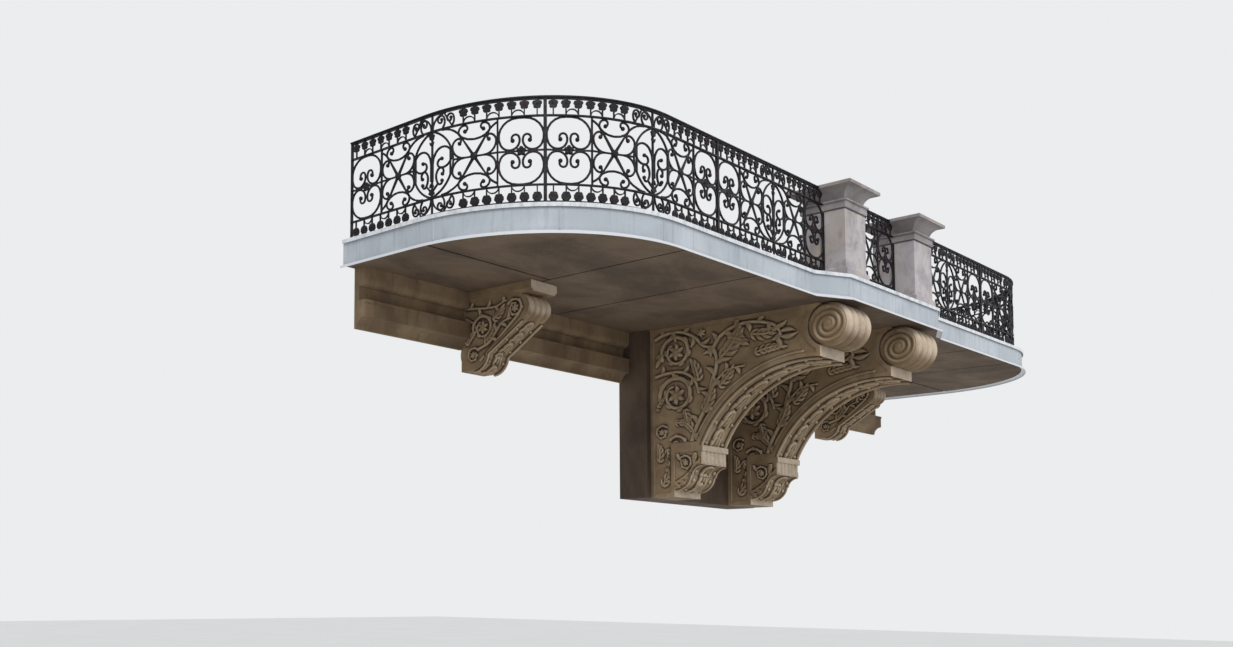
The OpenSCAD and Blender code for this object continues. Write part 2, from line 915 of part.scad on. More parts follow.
// Side outline of the console body, moved in by d
module console_outline(d) {
  difference() {
    translate([backing_d + seat_gap + d, neck_z + d])
      square([beak_y - backing_d - 2 * d - seat_gap, soffit_z - neck_z - 2 * d]);
    translate([arch_y, arch_z]) circle(r = arch_r + d, $fn = 128);
  }
  translate([backing_d + seat_gap + d, foot_z + d])
    square([column_y - backing_d - 2 * d - seat_gap, neck_z - foot_z + (d > 0 ? 0 : 1)]);
}

module volute_bore(r) {
  rotate([0, 90, 0])
    translate([-volute_z, -volute_y, 0])
      cylinder(r = r, h = 2 * console_w, center = true, $fn = 96);
}

module console_body() {
  color(stone_warm)
    translate([pier_x, 0, 0])
      difference() {
        across(console_w) console_outline(0);
        for (s = [-1, 1])
          difference() {
            translate([s * console_w / 2, 0, 0])
              across(2 * panel_d) console_outline(border_w);
            volute_bore(volute_r + border_w);
          }
        volute_bore(volute_r + seat_gap);
      }
}

// Horizontal roll of length w along X, with convex ridges round it
module ridged_roll(w, r, ridges) {
  pitch = w / ridges;
  core = roll_core(w, r, ridges);
  rotate([0, 90, 0])
    union() {
      cylinder(r = core, h = w, center = true, $fn = 64);
      for (k = [0:ridges - 1])
        rotate_extrude($fn = 64)
          intersection() {
            translate([r - pitch / 2, -w / 2 + pitch * (k + 0.5)])
              circle(r = pitch / 2);
            translate([core - pitch * 0.1, -w / 2])
              square([pitch, w]);
          }
    }
}

// Radius of a ridged roll in the valleys between its ridges
function roll_core(w, r, ridges) = r - w / ridges * 0.22;

// Coil on a disc of radius r: half circles that grow smaller, round an eye
module coil(r) {
  outer = r * 0.9;
  closer = r * 0.155;
  ridge = r * 0.105;
  scroll([0, outer], 0, [for (k = [0:5]) [outer - closer * k, -180]], ridge, r * 0.19);
}

// Ridged roll with a coil that stands out on each end
module console_volute() {
  ridges = 4;
  color(stone_warm)
    translate([pier_x, -volute_y, volute_z])
      union() {
        ridged_roll(console_w, volute_r, ridges);
        across(console_w + 2 * coil_out)
          coil(roll_core(console_w, volute_r, ridges));
      }
}

// Side outline of the bell and of the leaf that sweeps back below it
module leaf_outline() {
  drop = neck_z - neck_h - foot_z;
  band_z = neck_z - neck_h;
  hang = drop * 0.465;
  difference() {
    union() {
      translate([column_y, band_z - hang])
        square([bell_front - column_y, hang]);
      translate([column_y + drop * 0.03, band_z - hang])
        circle(r = drop * 0.366, $fn = 64);
    }
    translate([bell_front + drop * 0.01, band_z - drop * 0.58])
      circle(r = drop * 0.285, $fn = 64);
    translate([0, band_z - seat_gap]) square([far, far]);
    translate([-far, foot_z - far / 2]) square([far + column_y + seat_gap, far]);
  }
}

// Neck band, the reeded bell and the leaf that sweeps back below it
module console_leaf() {
  w = console_w - 2 * panel_d;
  reeds = 6;
  reed_r = w / reeds * 0.45;
  reed_h = (neck_up - neck_h) * 0.27;
  color(stone_warm)
    translate([pier_x, 0, 0])
      union() {
        across(w) leaf_outline();
        across(console_w)
          translate([column_y + seat_gap, neck_z - neck_h - seat_gap])
            square([neck_front - column_y + neck_h * 0.7, neck_h]);
        for (k = [0:reeds - 1])
          translate([w * ((k + 0.5) / reeds - 0.5), -bell_front + reed_r * 0.62,
                     neck_z - neck_h - reed_h])
            cylinder(r = reed_r, h = reed_h + neck_h / 2);
      }
}

module console_right_body() { console_body(); }
module console_right_volute() { console_volute(); }
module console_right_leaf() { console_leaf(); }
module console_left_body() { mirror([1, 0, 0]) console_body(); }
module console_left_volute() { mirror([1, 0, 0]) console_volute(); }
module console_left_leaf() { mirror([1, 0, 0]) console_leaf(); }

module backing_pier() {
  color(plaster)
    translate([-backing_half, -backing_d, foot_z])
      cube([2 * backing_half, backing_d, console_h - seat_gap]);
}

// Small brackets

bracket_x = half_w - bracket_inset;
bracket_roll = (bracket_h - abacus_h) * 0.185;
bracket_roll_y = bracket_d - bracket_roll;
bracket_roll_z = soffit_z - abacus_h - bracket_roll * 1.05;

// Side outline of a small bracket below its abacus: the underside runs straight from
// the roll to the rounded foot
module bracket_outline(roll) {
  top = soffit_z - abacus_h;
  foot = soffit_z - bracket_h;
  foot_r = (bracket_h - abacus_h) * 0.25;
  a = [bracket_d * 0.18, foot + foot_r];
  b = [bracket_roll_y, bracket_roll_z];
  polygon([[0, foot], [a[0], foot], a, b, [b[0], top], [0, top]]);
  translate(a) circle(r = foot_r, $fn = 64);
  translate(b) circle(r = roll, $fn = 64);
  translate(a)
    rotate([0, 0, atan2(b[1] - a[1], b[0] - a[0])])
      translate([0, -min(foot_r, roll)])
        square([norm(b - a), min(foot_r, roll)]);
}

module bracket_body() {
  ridges = 4;
  core = roll_core(bracket_w, bracket_roll, ridges);
  color(stone_warm)
    translate([bracket_x, 0, 0])
      union() {
        across(bracket_w) bracket_outline(core);
        translate([0, -bracket_roll_y, bracket_roll_z])
          ridged_roll(bracket_w, bracket_roll, ridges);
      }
}

// Abacus section out to reach on both sides: a slab over a cavetto
module abacus_section(reach) {
  difference() {
    translate([-reach, soffit_z - abacus_h]) square([2 * reach, abacus_h]);
    for (m = [-1, 1])
      translate([m * reach, soffit_z - abacus_h])
        circle(r = abacus_out * 0.9);
  }
}

module bracket_abacus() {
  w = bracket_w / 2 + abacus_out;
  d = bracket_d + abacus_out;
  color(stone_warm)
    translate([bracket_x, 0, 0])
      intersection() {
        rotate([90, 0, 0])
          linear_extrude(d)
            abacus_section(w);
        across(2 * w + 2) abacus_section(d);
      }
}

module bracket_right_body() { bracket_body(); }
module bracket_right_abacus() { bracket_abacus(); }
module bracket_left_body() { mirror([1, 0, 0]) bracket_body(); }
module bracket_left_abacus() { mirror([1, 0, 0]) bracket_abacus(); }

// Bed moulding

// Section as [distance from wall, height]: band with a rounded lower edge, dark recess,
// thin fillet, and a lower band that is hollowed back to the wall
module bed_section() {
  top = soffit_z;
  face = bed_d * 0.94;
  crown_z = top - bed_h * 0.31;
  fillet_z = top - bed_h * 0.54;
  fillet = bed_h * 0.05;
  round = face * 0.5;
  hollow = face * 0.75;
  polygon(concat(
    [[0, top], [face, top]],
    [for (a = [0:15:90])
      [face - round + round * cos(a), crown_z + round - round * sin(a)]],
    [[bed_d * 0.4, crown_z], [bed_d * 0.4, fillet_z], [bed_d, fillet_z],
     [bed_d, fillet_z - fillet], [face, fillet_z - fillet]],
    [for (a = [0:15:90])
      [face - hollow * sin(a), top - bed_h + hollow * cos(a)]],
    [[0, top - bed_h]]));
}

module bed_piece(x0, x1) {
  color(stone_warm)
    translate([(x0 + x1) / 2, 0, 0])
      across(x1 - x0)
        bed_section();
}

bracket_in = bracket_x - bracket_w / 2 - abacus_out - seat_gap;
bracket_out = bracket_x + bracket_w / 2 + abacus_out + seat_gap;

module bed_moulding_right_inner() { bed_piece(backing_half + seat_gap, bracket_in); }
module bed_moulding_right_outer() { bed_piece(bracket_out, half_w - bed_d); }
module bed_moulding_left_inner() { mirror([1, 0, 0]) bed_moulding_right_inner(); }
module bed_moulding_left_outer() { mirror([1, 0, 0]) bed_moulding_right_outer(); }

slab();
fascia_left();
fascia_centre();
fascia_right();
flashing_left();
flashing_centre();
flashing_right();
pier_left_base();
pier_left_shaft();
pier_left_cap();
pier_right_base();
pier_right_shaft();
pier_right_cap();
handrail_left();
handrail_centre();
handrail_right();
rail_left_bay_1();
rail_left_bay_2();
rail_left_bay_3();
rail_centre_panel();
rail_right_bay_1();
rail_right_bay_2();
rail_right_bay_3();
console_left_body();
console_left_volute();
console_left_leaf();
console_right_body();
console_right_volute();
console_right_leaf();
backing_pier();
bracket_left_body();
bracket_left_abacus();
bracket_right_body();
bracket_right_abacus();
bed_moulding_left_outer();
bed_moulding_left_inner();
bed_moulding_right_inner();
bed_moulding_right_outer();
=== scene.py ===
import math

import bpy
import numpy as np
from mathutils import Euler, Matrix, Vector


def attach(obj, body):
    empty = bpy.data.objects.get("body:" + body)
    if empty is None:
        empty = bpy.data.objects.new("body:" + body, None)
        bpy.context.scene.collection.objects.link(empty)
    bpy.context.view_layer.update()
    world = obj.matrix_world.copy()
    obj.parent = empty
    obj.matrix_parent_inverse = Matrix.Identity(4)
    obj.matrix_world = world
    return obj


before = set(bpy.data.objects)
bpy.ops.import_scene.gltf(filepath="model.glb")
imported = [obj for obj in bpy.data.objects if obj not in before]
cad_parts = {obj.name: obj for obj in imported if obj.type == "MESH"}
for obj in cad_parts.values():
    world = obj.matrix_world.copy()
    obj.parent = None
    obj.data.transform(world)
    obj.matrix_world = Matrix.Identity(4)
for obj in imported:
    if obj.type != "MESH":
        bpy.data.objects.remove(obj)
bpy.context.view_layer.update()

# Sizes that the source gives, in metres
HALF_W = 5.70
WING_DEPTH = 2.60
CORNER_R = 1.64
SLAB_T = 0.24
DECK_Z = SLAB_T / 2
SOFFIT_Z = -SLAB_T / 2
RAIL_INSET = 0.10
RAIL_H = 0.985
HANDRAIL_H = 0.018
BAR_T = 0.012
BOTTOM_BAR_Z = 0.045
FRIEZE_H = 0.152
RING_SHARE = 0.39
STAR_SHARE = 0.41
ROSETTE_R = 0.044
ROSETTE_PITCH = 0.110
POST_W = 0.014
SCROLL_W = 0.014
SCROLL_DEPTH = 0.014
BITE = 0.003
PIER_X = 0.855
PIER_W = 0.474
CONSOLE_W = 0.555
CONSOLE_H = 1.97
BACKING_D = 0.38
VOLUTE_Y = 2.55
VOLUTE_R = 0.235
VOLUTE_RIDGES = 4
BRACKET_RIDGES = 4
RIDGE_RISE = 0.22
ARCH_R = 1.391
ARCH_BACK = 0.171
ARCH_DROP = 1.95
BORDER_W = 0.046
PANEL_D = 0.014
NECK_UP = 0.57
NECK_H = 0.065
BRACKET_X = 3.84
BRACKET_W = 0.35
BRACKET_D = 0.91
BRACKET_H = 0.81
ABACUS_H = 0.105
BAY_COUNT = 3

# Places that follow from them
FOOT_Z = SOFFIT_Z - CONSOLE_H
NECK_Z = FOOT_Z + NECK_UP
ARCH_Z = SOFFIT_Z - ARCH_DROP
BEAK_Y = VOLUTE_Y - VOLUTE_R * 0.38
ARCH_Y = BEAK_Y - ARCH_BACK
NECK_FRONT = ARCH_Y - math.sqrt(ARCH_R ** 2 - (NECK_Z - ARCH_Z) ** 2)
COLUMN_Y = BACKING_D + (NECK_FRONT - BACKING_D) * 0.49
BELL_FRONT = NECK_FRONT + NECK_H * 0.35
VOLUTE_Z = SOFFIT_Z - VOLUTE_R
VOLUTE_CORE = VOLUTE_R - CONSOLE_W / VOLUTE_RIDGES * RIDGE_RISE
LEAF_DROP = NECK_UP - NECK_H
BAND_Z = NECK_Z - NECK_H
BRACKET_BODY_H = BRACKET_H - ABACUS_H
BRACKET_ROLL = BRACKET_BODY_H * 0.185
BRACKET_ROLL_Y = BRACKET_D - BRACKET_ROLL
BRACKET_ROLL_Z = SOFFIT_Z - ABACUS_H - BRACKET_ROLL * 1.05
BRACKET_FOOT_R = BRACKET_BODY_H * 0.25
BRACKET_FOOT_Y = BRACKET_D * 0.18
BRACKET_FOOT_Z = SOFFIT_Z - BRACKET_H + BRACKET_FOOT_R
BRACKET_RUN = BRACKET_ROLL_Y - BRACKET_FOOT_Y
BRACKET_RISE = BRACKET_ROLL_Z - BRACKET_FOOT_Z
TOP_BAR_Z = RAIL_H - HANDRAIL_H - BAR_T / 2
FIELD_Z = (TOP_BAR_Z + BOTTOM_BAR_Z) / 2
SIDE_LEN = WING_DEPTH - CORNER_R
FRONT_X = HALF_W - CORNER_R
RAIL_R = CORNER_R - RAIL_INSET
RAIL_Y = WING_DEPTH - RAIL_INSET
ARC_LEN = RAIL_R * math.pi / 2
RAIL_LEN = SIDE_LEN + ARC_LEN + FRONT_X - PIER_X - PIER_W / 2
BAY_LEN = RAIL_LEN / BAY_COUNT
HALF_BAY = BAY_LEN / 2
RING_LEN = HALF_BAY * RING_SHARE
STAR_LEN = HALF_BAY * STAR_SHARE
LANCET_LEN = HALF_BAY - RING_LEN - STAR_LEN
FRIEZE_ZONE = 2.5 * ROSETTE_PITCH
FIELD_H = TOP_BAR_Z - BOTTOM_BAR_Z - 2 * FRIEZE_H
LEAN = SCROLL_W - BITE
END_OUT = STAR_LEN ** 2 / RAIL_R / 16
CENTRE_LEN = 2 * PIER_X - PIER_W
CENTRE_RING = (CENTRE_LEN - 2 * POST_W) * 0.325
CENTRE_STAR = CENTRE_LEN - 2 * POST_W - 2 * CENTRE_RING
CENTRE_RING_X = (CENTRE_STAR + CENTRE_RING) / 2
# Where a scroll seats on the bars over and under its panel, from the panel's middle
SEAT_Z = FIELD_H / 2 - BAR_T / 2 - SCROLL_W / 2 + BITE
# Heights over the deck of the two rows of rosettes
ROSETTE_DROP = BAR_T / 2 + ROSETTE_R - BITE
ROSETTE_ROWS = (TOP_BAR_Z - ROSETTE_DROP, BOTTOM_BAR_Z + ROSETTE_DROP)
# The swell of the leaf under the bell and the hollow over it
SWELL_Y = COLUMN_Y + LEAF_DROP * 0.03
SWELL_Z = BAND_Z - LEAF_DROP * 0.465
HOLLOW_Y = BELL_FRONT + LEAF_DROP * 0.01
HOLLOW_Z = BAND_Z - LEAF_DROP * 0.58

# Sizes of what only this script makes
# How far the ground of a carved sheet lies over the stone
GROUND = 0.0012
# Width over which hollows beside a ridge get painted shade
HALO = 0.016
# Cells of the carved sheets
CONSOLE_CELL = 0.0063
UNDER_CELL = 0.0066
LEAF_CELL = 0.0065
BRACKET_CELL = 0.006
COIL_CELL = 0.005
# Bosses on the stars, and how far an ornament is set into its bar
BOSS_R = 0.034
BOSS_H = 0.014
SET_IN = 0.0005
# Radii of the forged bars and of the balls on their scrolls
FORGED_R = 0.0105
FRIEZE_FORGED_R = FORGED_R * 0.85
CENTRE_FORGED_R = 0.0095
RING_BALL = 0.020
STAR_BALL = 0.019
LANCET_BALL = 0.018
FRIEZE_BALL = 0.016
CENTRE_BALL = 0.017

# The halves of the balcony: whether each is mirrored, and its name
SIDES = ((False, "right"), (True, "left"))
UP = np.array([0.0, 0.0, 1.0])


# Colours

def rgb(red, green, blue):
    """A colour written as on a screen, 0 to 255, as linear values."""
    return tuple(((c / 255 + 0.055) / 1.055) ** 2.4 if c > 10 else c / 3294.6
                 for c in (red, green, blue)) + (1.0,)


# Materials

class Surface:
    """Builds one material from small node steps. Its coordinates are metres."""

    def __init__(self, name, roughness):
        self.material = bpy.data.materials.new(name)
        self.material.use_nodes = True
        self.nodes = self.material.node_tree.nodes
        self.links = self.material.node_tree.links
        self.shader = self.nodes["Principled BSDF"]
        self.shader.inputs["Roughness"].default_value = roughness
        self.coords = self.nodes.new("ShaderNodeTexCoord").outputs["Object"]

    def add(self, kind, inputs, **settings):
        """A node with its settings. An input gets a value, or a link to what feeds it."""
        node = self.nodes.new("ShaderNode" + kind)
        for name, value in settings.items():
            setattr(node, name, value)
        for name, value in inputs.items():
            if isinstance(value, (tuple, float)):
                node.inputs[name].default_value = value
            else:
                self.links.new(value, node.inputs[name])
        return node

    def stretched(self, x, y, z):
        return self.add("Mapping", {"Vector": self.coords, "Scale": (x, y, z)}).outputs["Vector"]

    def noise(self, scale, detail=5.0, roughness=0.6, coords=None, distortion=0.0):
        node = self.add("TexNoise", {"Vector": coords or self.coords, "Scale": scale,
                                     "Detail": detail, "Roughness": roughness,
                                     "Distortion": distortion})
        return node.outputs["Fac"]

    def spots(self, scale):
        return self.add("TexVoronoi", {"Vector": self.coords, "Scale": scale}).outputs["Distance"]

    def flags(self, length, stone, joint):
        """Paving laid in courses, with narrow joints."""
        node = self.add("TexBrick", {"Vector": self.coords, "Color1": stone, "Color2": stone,
                                     "Mortar": joint, "Scale": 1.0, "Mortar Size": 0.004,
                                     "Brick Width": length, "Row Height": length * 0.6})
        return node.outputs["Color"]

    def band(self, source, low, high, to_low=0.0, to_high=1.0):
        """to_low up to to_high as the source goes from low to high, with soft ends."""
        node = self.add("MapRange", {"Value": source, "From Min": low, "From Max": high,
                                     "To Min": to_low, "To Max": to_high},
                        interpolation_type="SMOOTHSTEP")
        return node.outputs["Result"]

    def patch(self, source, low, high, most):
        """How much a patchy colour covers the one below, 0 to most."""
        return self.times(self.band(source, low, high), most)

    def mix(self, factor, first, second):
        node = self.add("Mix", {0: factor, 6: first, 7: second}, data_type="RGBA")
        return node.outputs[2]

    def times(self, first, second):
        return self.add("Math", {0: first, 1: second}, operation="MULTIPLY").outputs[0]

    def attribute(self, name):
        return self.add("Attribute", {}, attribute_name=name).outputs["Fac"]

    def normal(self):
        return self.add("NewGeometry", {}).outputs["Normal"]

    def upward(self, vector):
        return self.add("SeparateXYZ", {"Vector": vector}).outputs["Z"]

    def facing(self, low, high):
        """0 to 1 as the upward part of the surface's normal goes from low to high."""
        return self.band(self.upward(self.normal()), low, high)

    def washed_and_lit(self):
        """1 on surfaces that look outward and up, which rain reaches and light falls on; 0 on the
        sheltered ones. It paints light, partly standing for rain wash.
        """
        wash_and_light = self.add("VectorMath", {0: self.normal(), 1: (0.0, -0.8, 0.6)},
                        operation="DOT_PRODUCT")
        return self.band(wash_and_light.outputs["Value"], 0.10, 0.75)

    def height(self):
        """The height of the point over the middle of the slab."""
        return self.upward(self.coords)

    def colour(self, source):
        self.links.new(source, self.shader.inputs["Base Color"])

    def rough(self, source, low, high):
        self.links.new(self.band(source, 0.3, 0.7, low, high), self.shader.inputs["Roughness"])

    def bump(self, source, depth, strength, below=None):
        inputs = {"Height": source, "Distance": depth, "Strength": strength}
        if below is not None:
            inputs["Normal"] = below
        normal = self.add("Bump", inputs).outputs["Normal"]
        self.links.new(normal, self.shader.inputs["Normal"])
        return normal

    def grained(self, first, first_depth, first_share, second, depth, share):
        """Lays one grain and a second one over it, and gives the finished material."""
        self.bump(second, depth, share, self.bump(first, first_depth, first_share))
        return self.material


def wrought_iron():
    """Black paint on iron, gone dull, with rust in small patches."""
    s = Surface("wrought_iron", 0.5)
    s.shader.inputs["Specular IOR Level"].default_value = 0.3
    rusty = s.patch(s.noise(9.0, 6.0), 0.56, 0.70, 0.55)
    paint = s.mix(s.noise(2.2, 4.0), rgb(17, 15, 20), rgb(31, 28, 35))
    rust = s.mix(s.noise(60.0, 4.0), rgb(58, 35, 27), rgb(84, 52, 35))
    s.colour(s.mix(rusty, paint, rust))
    s.rough(s.noise(30.0, 4.0), 0.38, 0.72)
    return s.grained(s.noise(220.0, 3.0), 0.0006, 0.8, s.noise(40.0, 5.0), 0.0012, 0.6)


def painted_sheet():
    """Pale blue-grey paint on thin sheet metal that dents a little, with runs of dirt."""
    s = Surface("painted_sheet", 0.45)
    runs = s.noise(3.0, 6.0, 0.7, s.stretched(7.0, 7.0, 0.7))
    clouds = s.noise(1.3, 4.0, 0.6, None, 0.6)
    base = s.mix(s.band(clouds, 0.35, 0.7), rgb(168, 175, 183), rgb(186, 192, 198))
    stained = s.mix(s.patch(runs, 0.50, 0.72, 0.50), base, rgb(139, 143, 146))
    low = s.band(s.height(), -0.06, -0.13, 0.0, 0.45)
    grimy = s.mix(s.times(low, s.band(s.noise(5.0, 5.0), 0.35, 0.65)), stained,
                  rgb(150, 144, 138))
    hem = s.band(s.height(), -0.108, -0.112)
    edged = s.mix(s.times(hem, 0.85), grimy, rgb(222, 224, 228))
    s.colour(s.mix(s.patch(s.noise(45.0, 5.0), 0.66, 0.74, 0.45), edged, rgb(112, 104, 97)))
    s.rough(runs, 0.36, 0.62)
    return s.grained(s.noise(2.4, 2.0, 0.4), 0.012, 0.35, s.noise(150.0, 3.0), 0.0004, 0.5)


def white_sheet():
    """White paint on the flashing, greyed in patches of dust."""
    s = Surface("white_sheet", 0.42)
    dust = s.noise(6.0, 6.0, 0.7, s.stretched(3.0, 3.0, 1.0))
    base = s.mix(s.band(dust, 0.40, 0.72), rgb(222, 225, 229), rgb(186, 188, 190))
    s.colour(s.mix(s.patch(s.noise(38.0, 5.0), 0.64, 0.74, 0.6), base, rgb(140, 134, 128)))
    s.rough(dust, 0.35, 0.62)
    s.bump(s.noise(120.0, 3.0), 0.0005, 0.5)
    return s.material


def grey_stone(name, light, dark, warm):
    """Veined, cloudy stone of the piers."""
    s = Surface(name, 0.62)
    clouds = s.noise(2.6, 6.0, 0.65, None, 0.9)
    veins = s.noise(4.0, 8.0, 0.7, s.stretched(1.6, 1.6, 0.5), 1.4)
    base = s.mix(s.band(clouds, 0.36, 0.66), light, dark)
    toned = s.mix(s.patch(s.noise(1.7, 4.0, 0.6, None, 0.5), 0.45, 0.68, 0.7), base, warm)
    veined = s.mix(s.patch(veins, 0.54, 0.66, 0.35), toned, rgb(112, 108, 112))
    grime = s.patch(s.noise(7.0, 8.0, 0.75), 0.54, 0.70, 0.40)
    s.colour(s.mix(grime, veined, rgb(90, 84, 80)))
    s.rough(clouds, 0.5, 0.78)
    return s.grained(s.noise(300.0, 3.0), 0.0006, 0.7, s.noise(28.0, 7.0), 0.0022, 0.45)


def slab_finish():
    """Old taupe render with damp clouds and fine cracks below, worn stone flags on the deck."""
    s = Surface("slab_finish", 0.88)
    clouds = s.noise(0.9, 7.0, 0.62, s.stretched(1.0, 1.6, 1.0), 0.5)
    base = s.mix(s.band(clouds, 0.36, 0.68), rgb(108, 89, 70), rgb(78, 63, 50))
    damp = s.patch(s.noise(2.4, 8.0, 0.7, None, 0.8), 0.55, 0.72, 0.45)
    stained = s.mix(damp, base, rgb(56, 45, 36))
    spotted = s.mix(s.patch(s.spots(26.0), 0.28, 0.10, 0.22), stained, rgb(146, 130, 110))
    joint = s.patch(s.height(), SOFFIT_Z + 0.001, SOFFIT_Z + 0.006, 0.85)
    below = s.mix(joint, spotted, rgb(34, 27, 22))
    worn = s.noise(1.4, 6.0, 0.6, None, 0.4)
    above = s.flags(0.60, s.mix(s.band(worn, 0.35, 0.65), rgb(158, 152, 144),
                                rgb(132, 127, 121)), rgb(84, 80, 76))
    s.colour(s.mix(s.facing(0.3, 0.8), below, above))
    s.rough(clouds, 0.8, 0.95)
    return s.grained(s.noise(160.0, 4.0), 0.001, 0.8, s.noise(9.0, 8.0, 0.7), 0.006, 0.5)


def warm_stone(name, carved):
    """Tan stone with painted light: paler on what looks outward and up, where rain also washes it;
    painted shade on what looks down and, where it is carved, in the hollows beside ridges, with a
    painted highlight on the crests."""
    s = Surface(name, 0.82)
    clouds = s.noise(2.8, 7.0, 0.65, None, 0.6)
    base = s.mix(s.band(clouds, 0.36, 0.66), rgb(158, 134, 102), rgb(136, 112, 84))
    bleached = s.mix(s.patch(s.noise(1.6, 6.0, 0.7), 0.52, 0.70, 0.50), base,
                     rgb(178, 158, 130))
    # Painted shade: darker, in patches, on surfaces that look down.
    painted_shade_below = s.times(s.facing(0.5, -0.5), s.band(s.noise(4.0, 7.0, 0.7), 0.25, 0.60))
    shaded_stone = s.mix(s.times(painted_shade_below, 0.50), bleached, rgb(86, 68, 50))
    if carved:
        relief = s.attribute("relief")
        # Painted highlight on the crests of the carving.
        crest = s.mix(s.patch(relief, 0.55, 0.85, 0.50), shaded_stone, rgb(194, 172, 140))
        # Painted shade in the hollows beside the ridges.
        shaded_stone = s.mix(s.band(relief, 0.49, 0.24, 0.0, 0.94), crest, rgb(46, 34, 23))
    # Painted light, partly rain wash: paler on surfaces that look outward and up.
    wash_and_light = s.times(s.washed_and_lit(), s.band(s.noise(6.0, 6.0, 0.7), 0.20, 0.65, 0.30, 0.78))
    if carved:
        # Less of it in the hollows and more on the crests: painted shade and highlight.
        wash_and_light = s.times(wash_and_light, s.band(relief, 0.44, 0.66, 0.15, 0.75))
    paler_where_lit = s.mix(wash_and_light, shaded_stone, rgb(214, 198, 178))
    s.colour(s.mix(s.patch(s.spots(55.0), 0.22, 0.05, 0.30), paler_where_lit, rgb(98, 78, 58)))
    s.rough(clouds, 0.72, 0.92)
    return s.grained(s.noise(260.0, 3.0), 0.0008, 0.8, s.noise(22.0, 7.0, 0.7), 0.0035, 0.5)


def wall_stone(name, light, dark):
    """Plain wall stone behind the consoles, darkened by rain."""
    s = Surface(name, 0.86)
    clouds = s.noise(1.8, 7.0, 0.65, s.stretched(1.0, 1.0, 0.5), 0.4)
    base = s.mix(s.band(clouds, 0.36, 0.66), light, dark)
    runs = s.noise(2.4, 6.0, 0.7, s.stretched(6.0, 6.0, 0.6))
    s.colour(s.mix(s.patch(runs, 0.52, 0.72, 0.5), base, rgb(72, 60, 48)))
    s.rough(clouds, 0.78, 0.94)
    return s.grained(s.noise(220.0, 3.0), 0.0008, 0.8, s.noise(14.0, 7.0, 0.7), 0.004, 0.5)


def stage_floor():
    """A pale floor that is clear from below, so that it hides nothing."""
    s = Surface("pale_floor", 0.9)
    s.colour(s.mix(s.noise(0.4, 3.0), rgb(214, 214, 212), rgb(224, 224, 222)))
    clear = s.add("BsdfTransparent", {})
    geometry = s.add("NewGeometry", {})
    blend = s.add("MixShader", {0: geometry.outputs["Backfacing"], 1: s.shader.outputs[0],
                                2: clear.outputs[0]})
    s.links.new(blend.outputs[0], s.nodes["Material Output"].inputs["Surface"])
    return s.material


# Carving: strokes are soft raised ridges drawn on a flat sheet of u and v

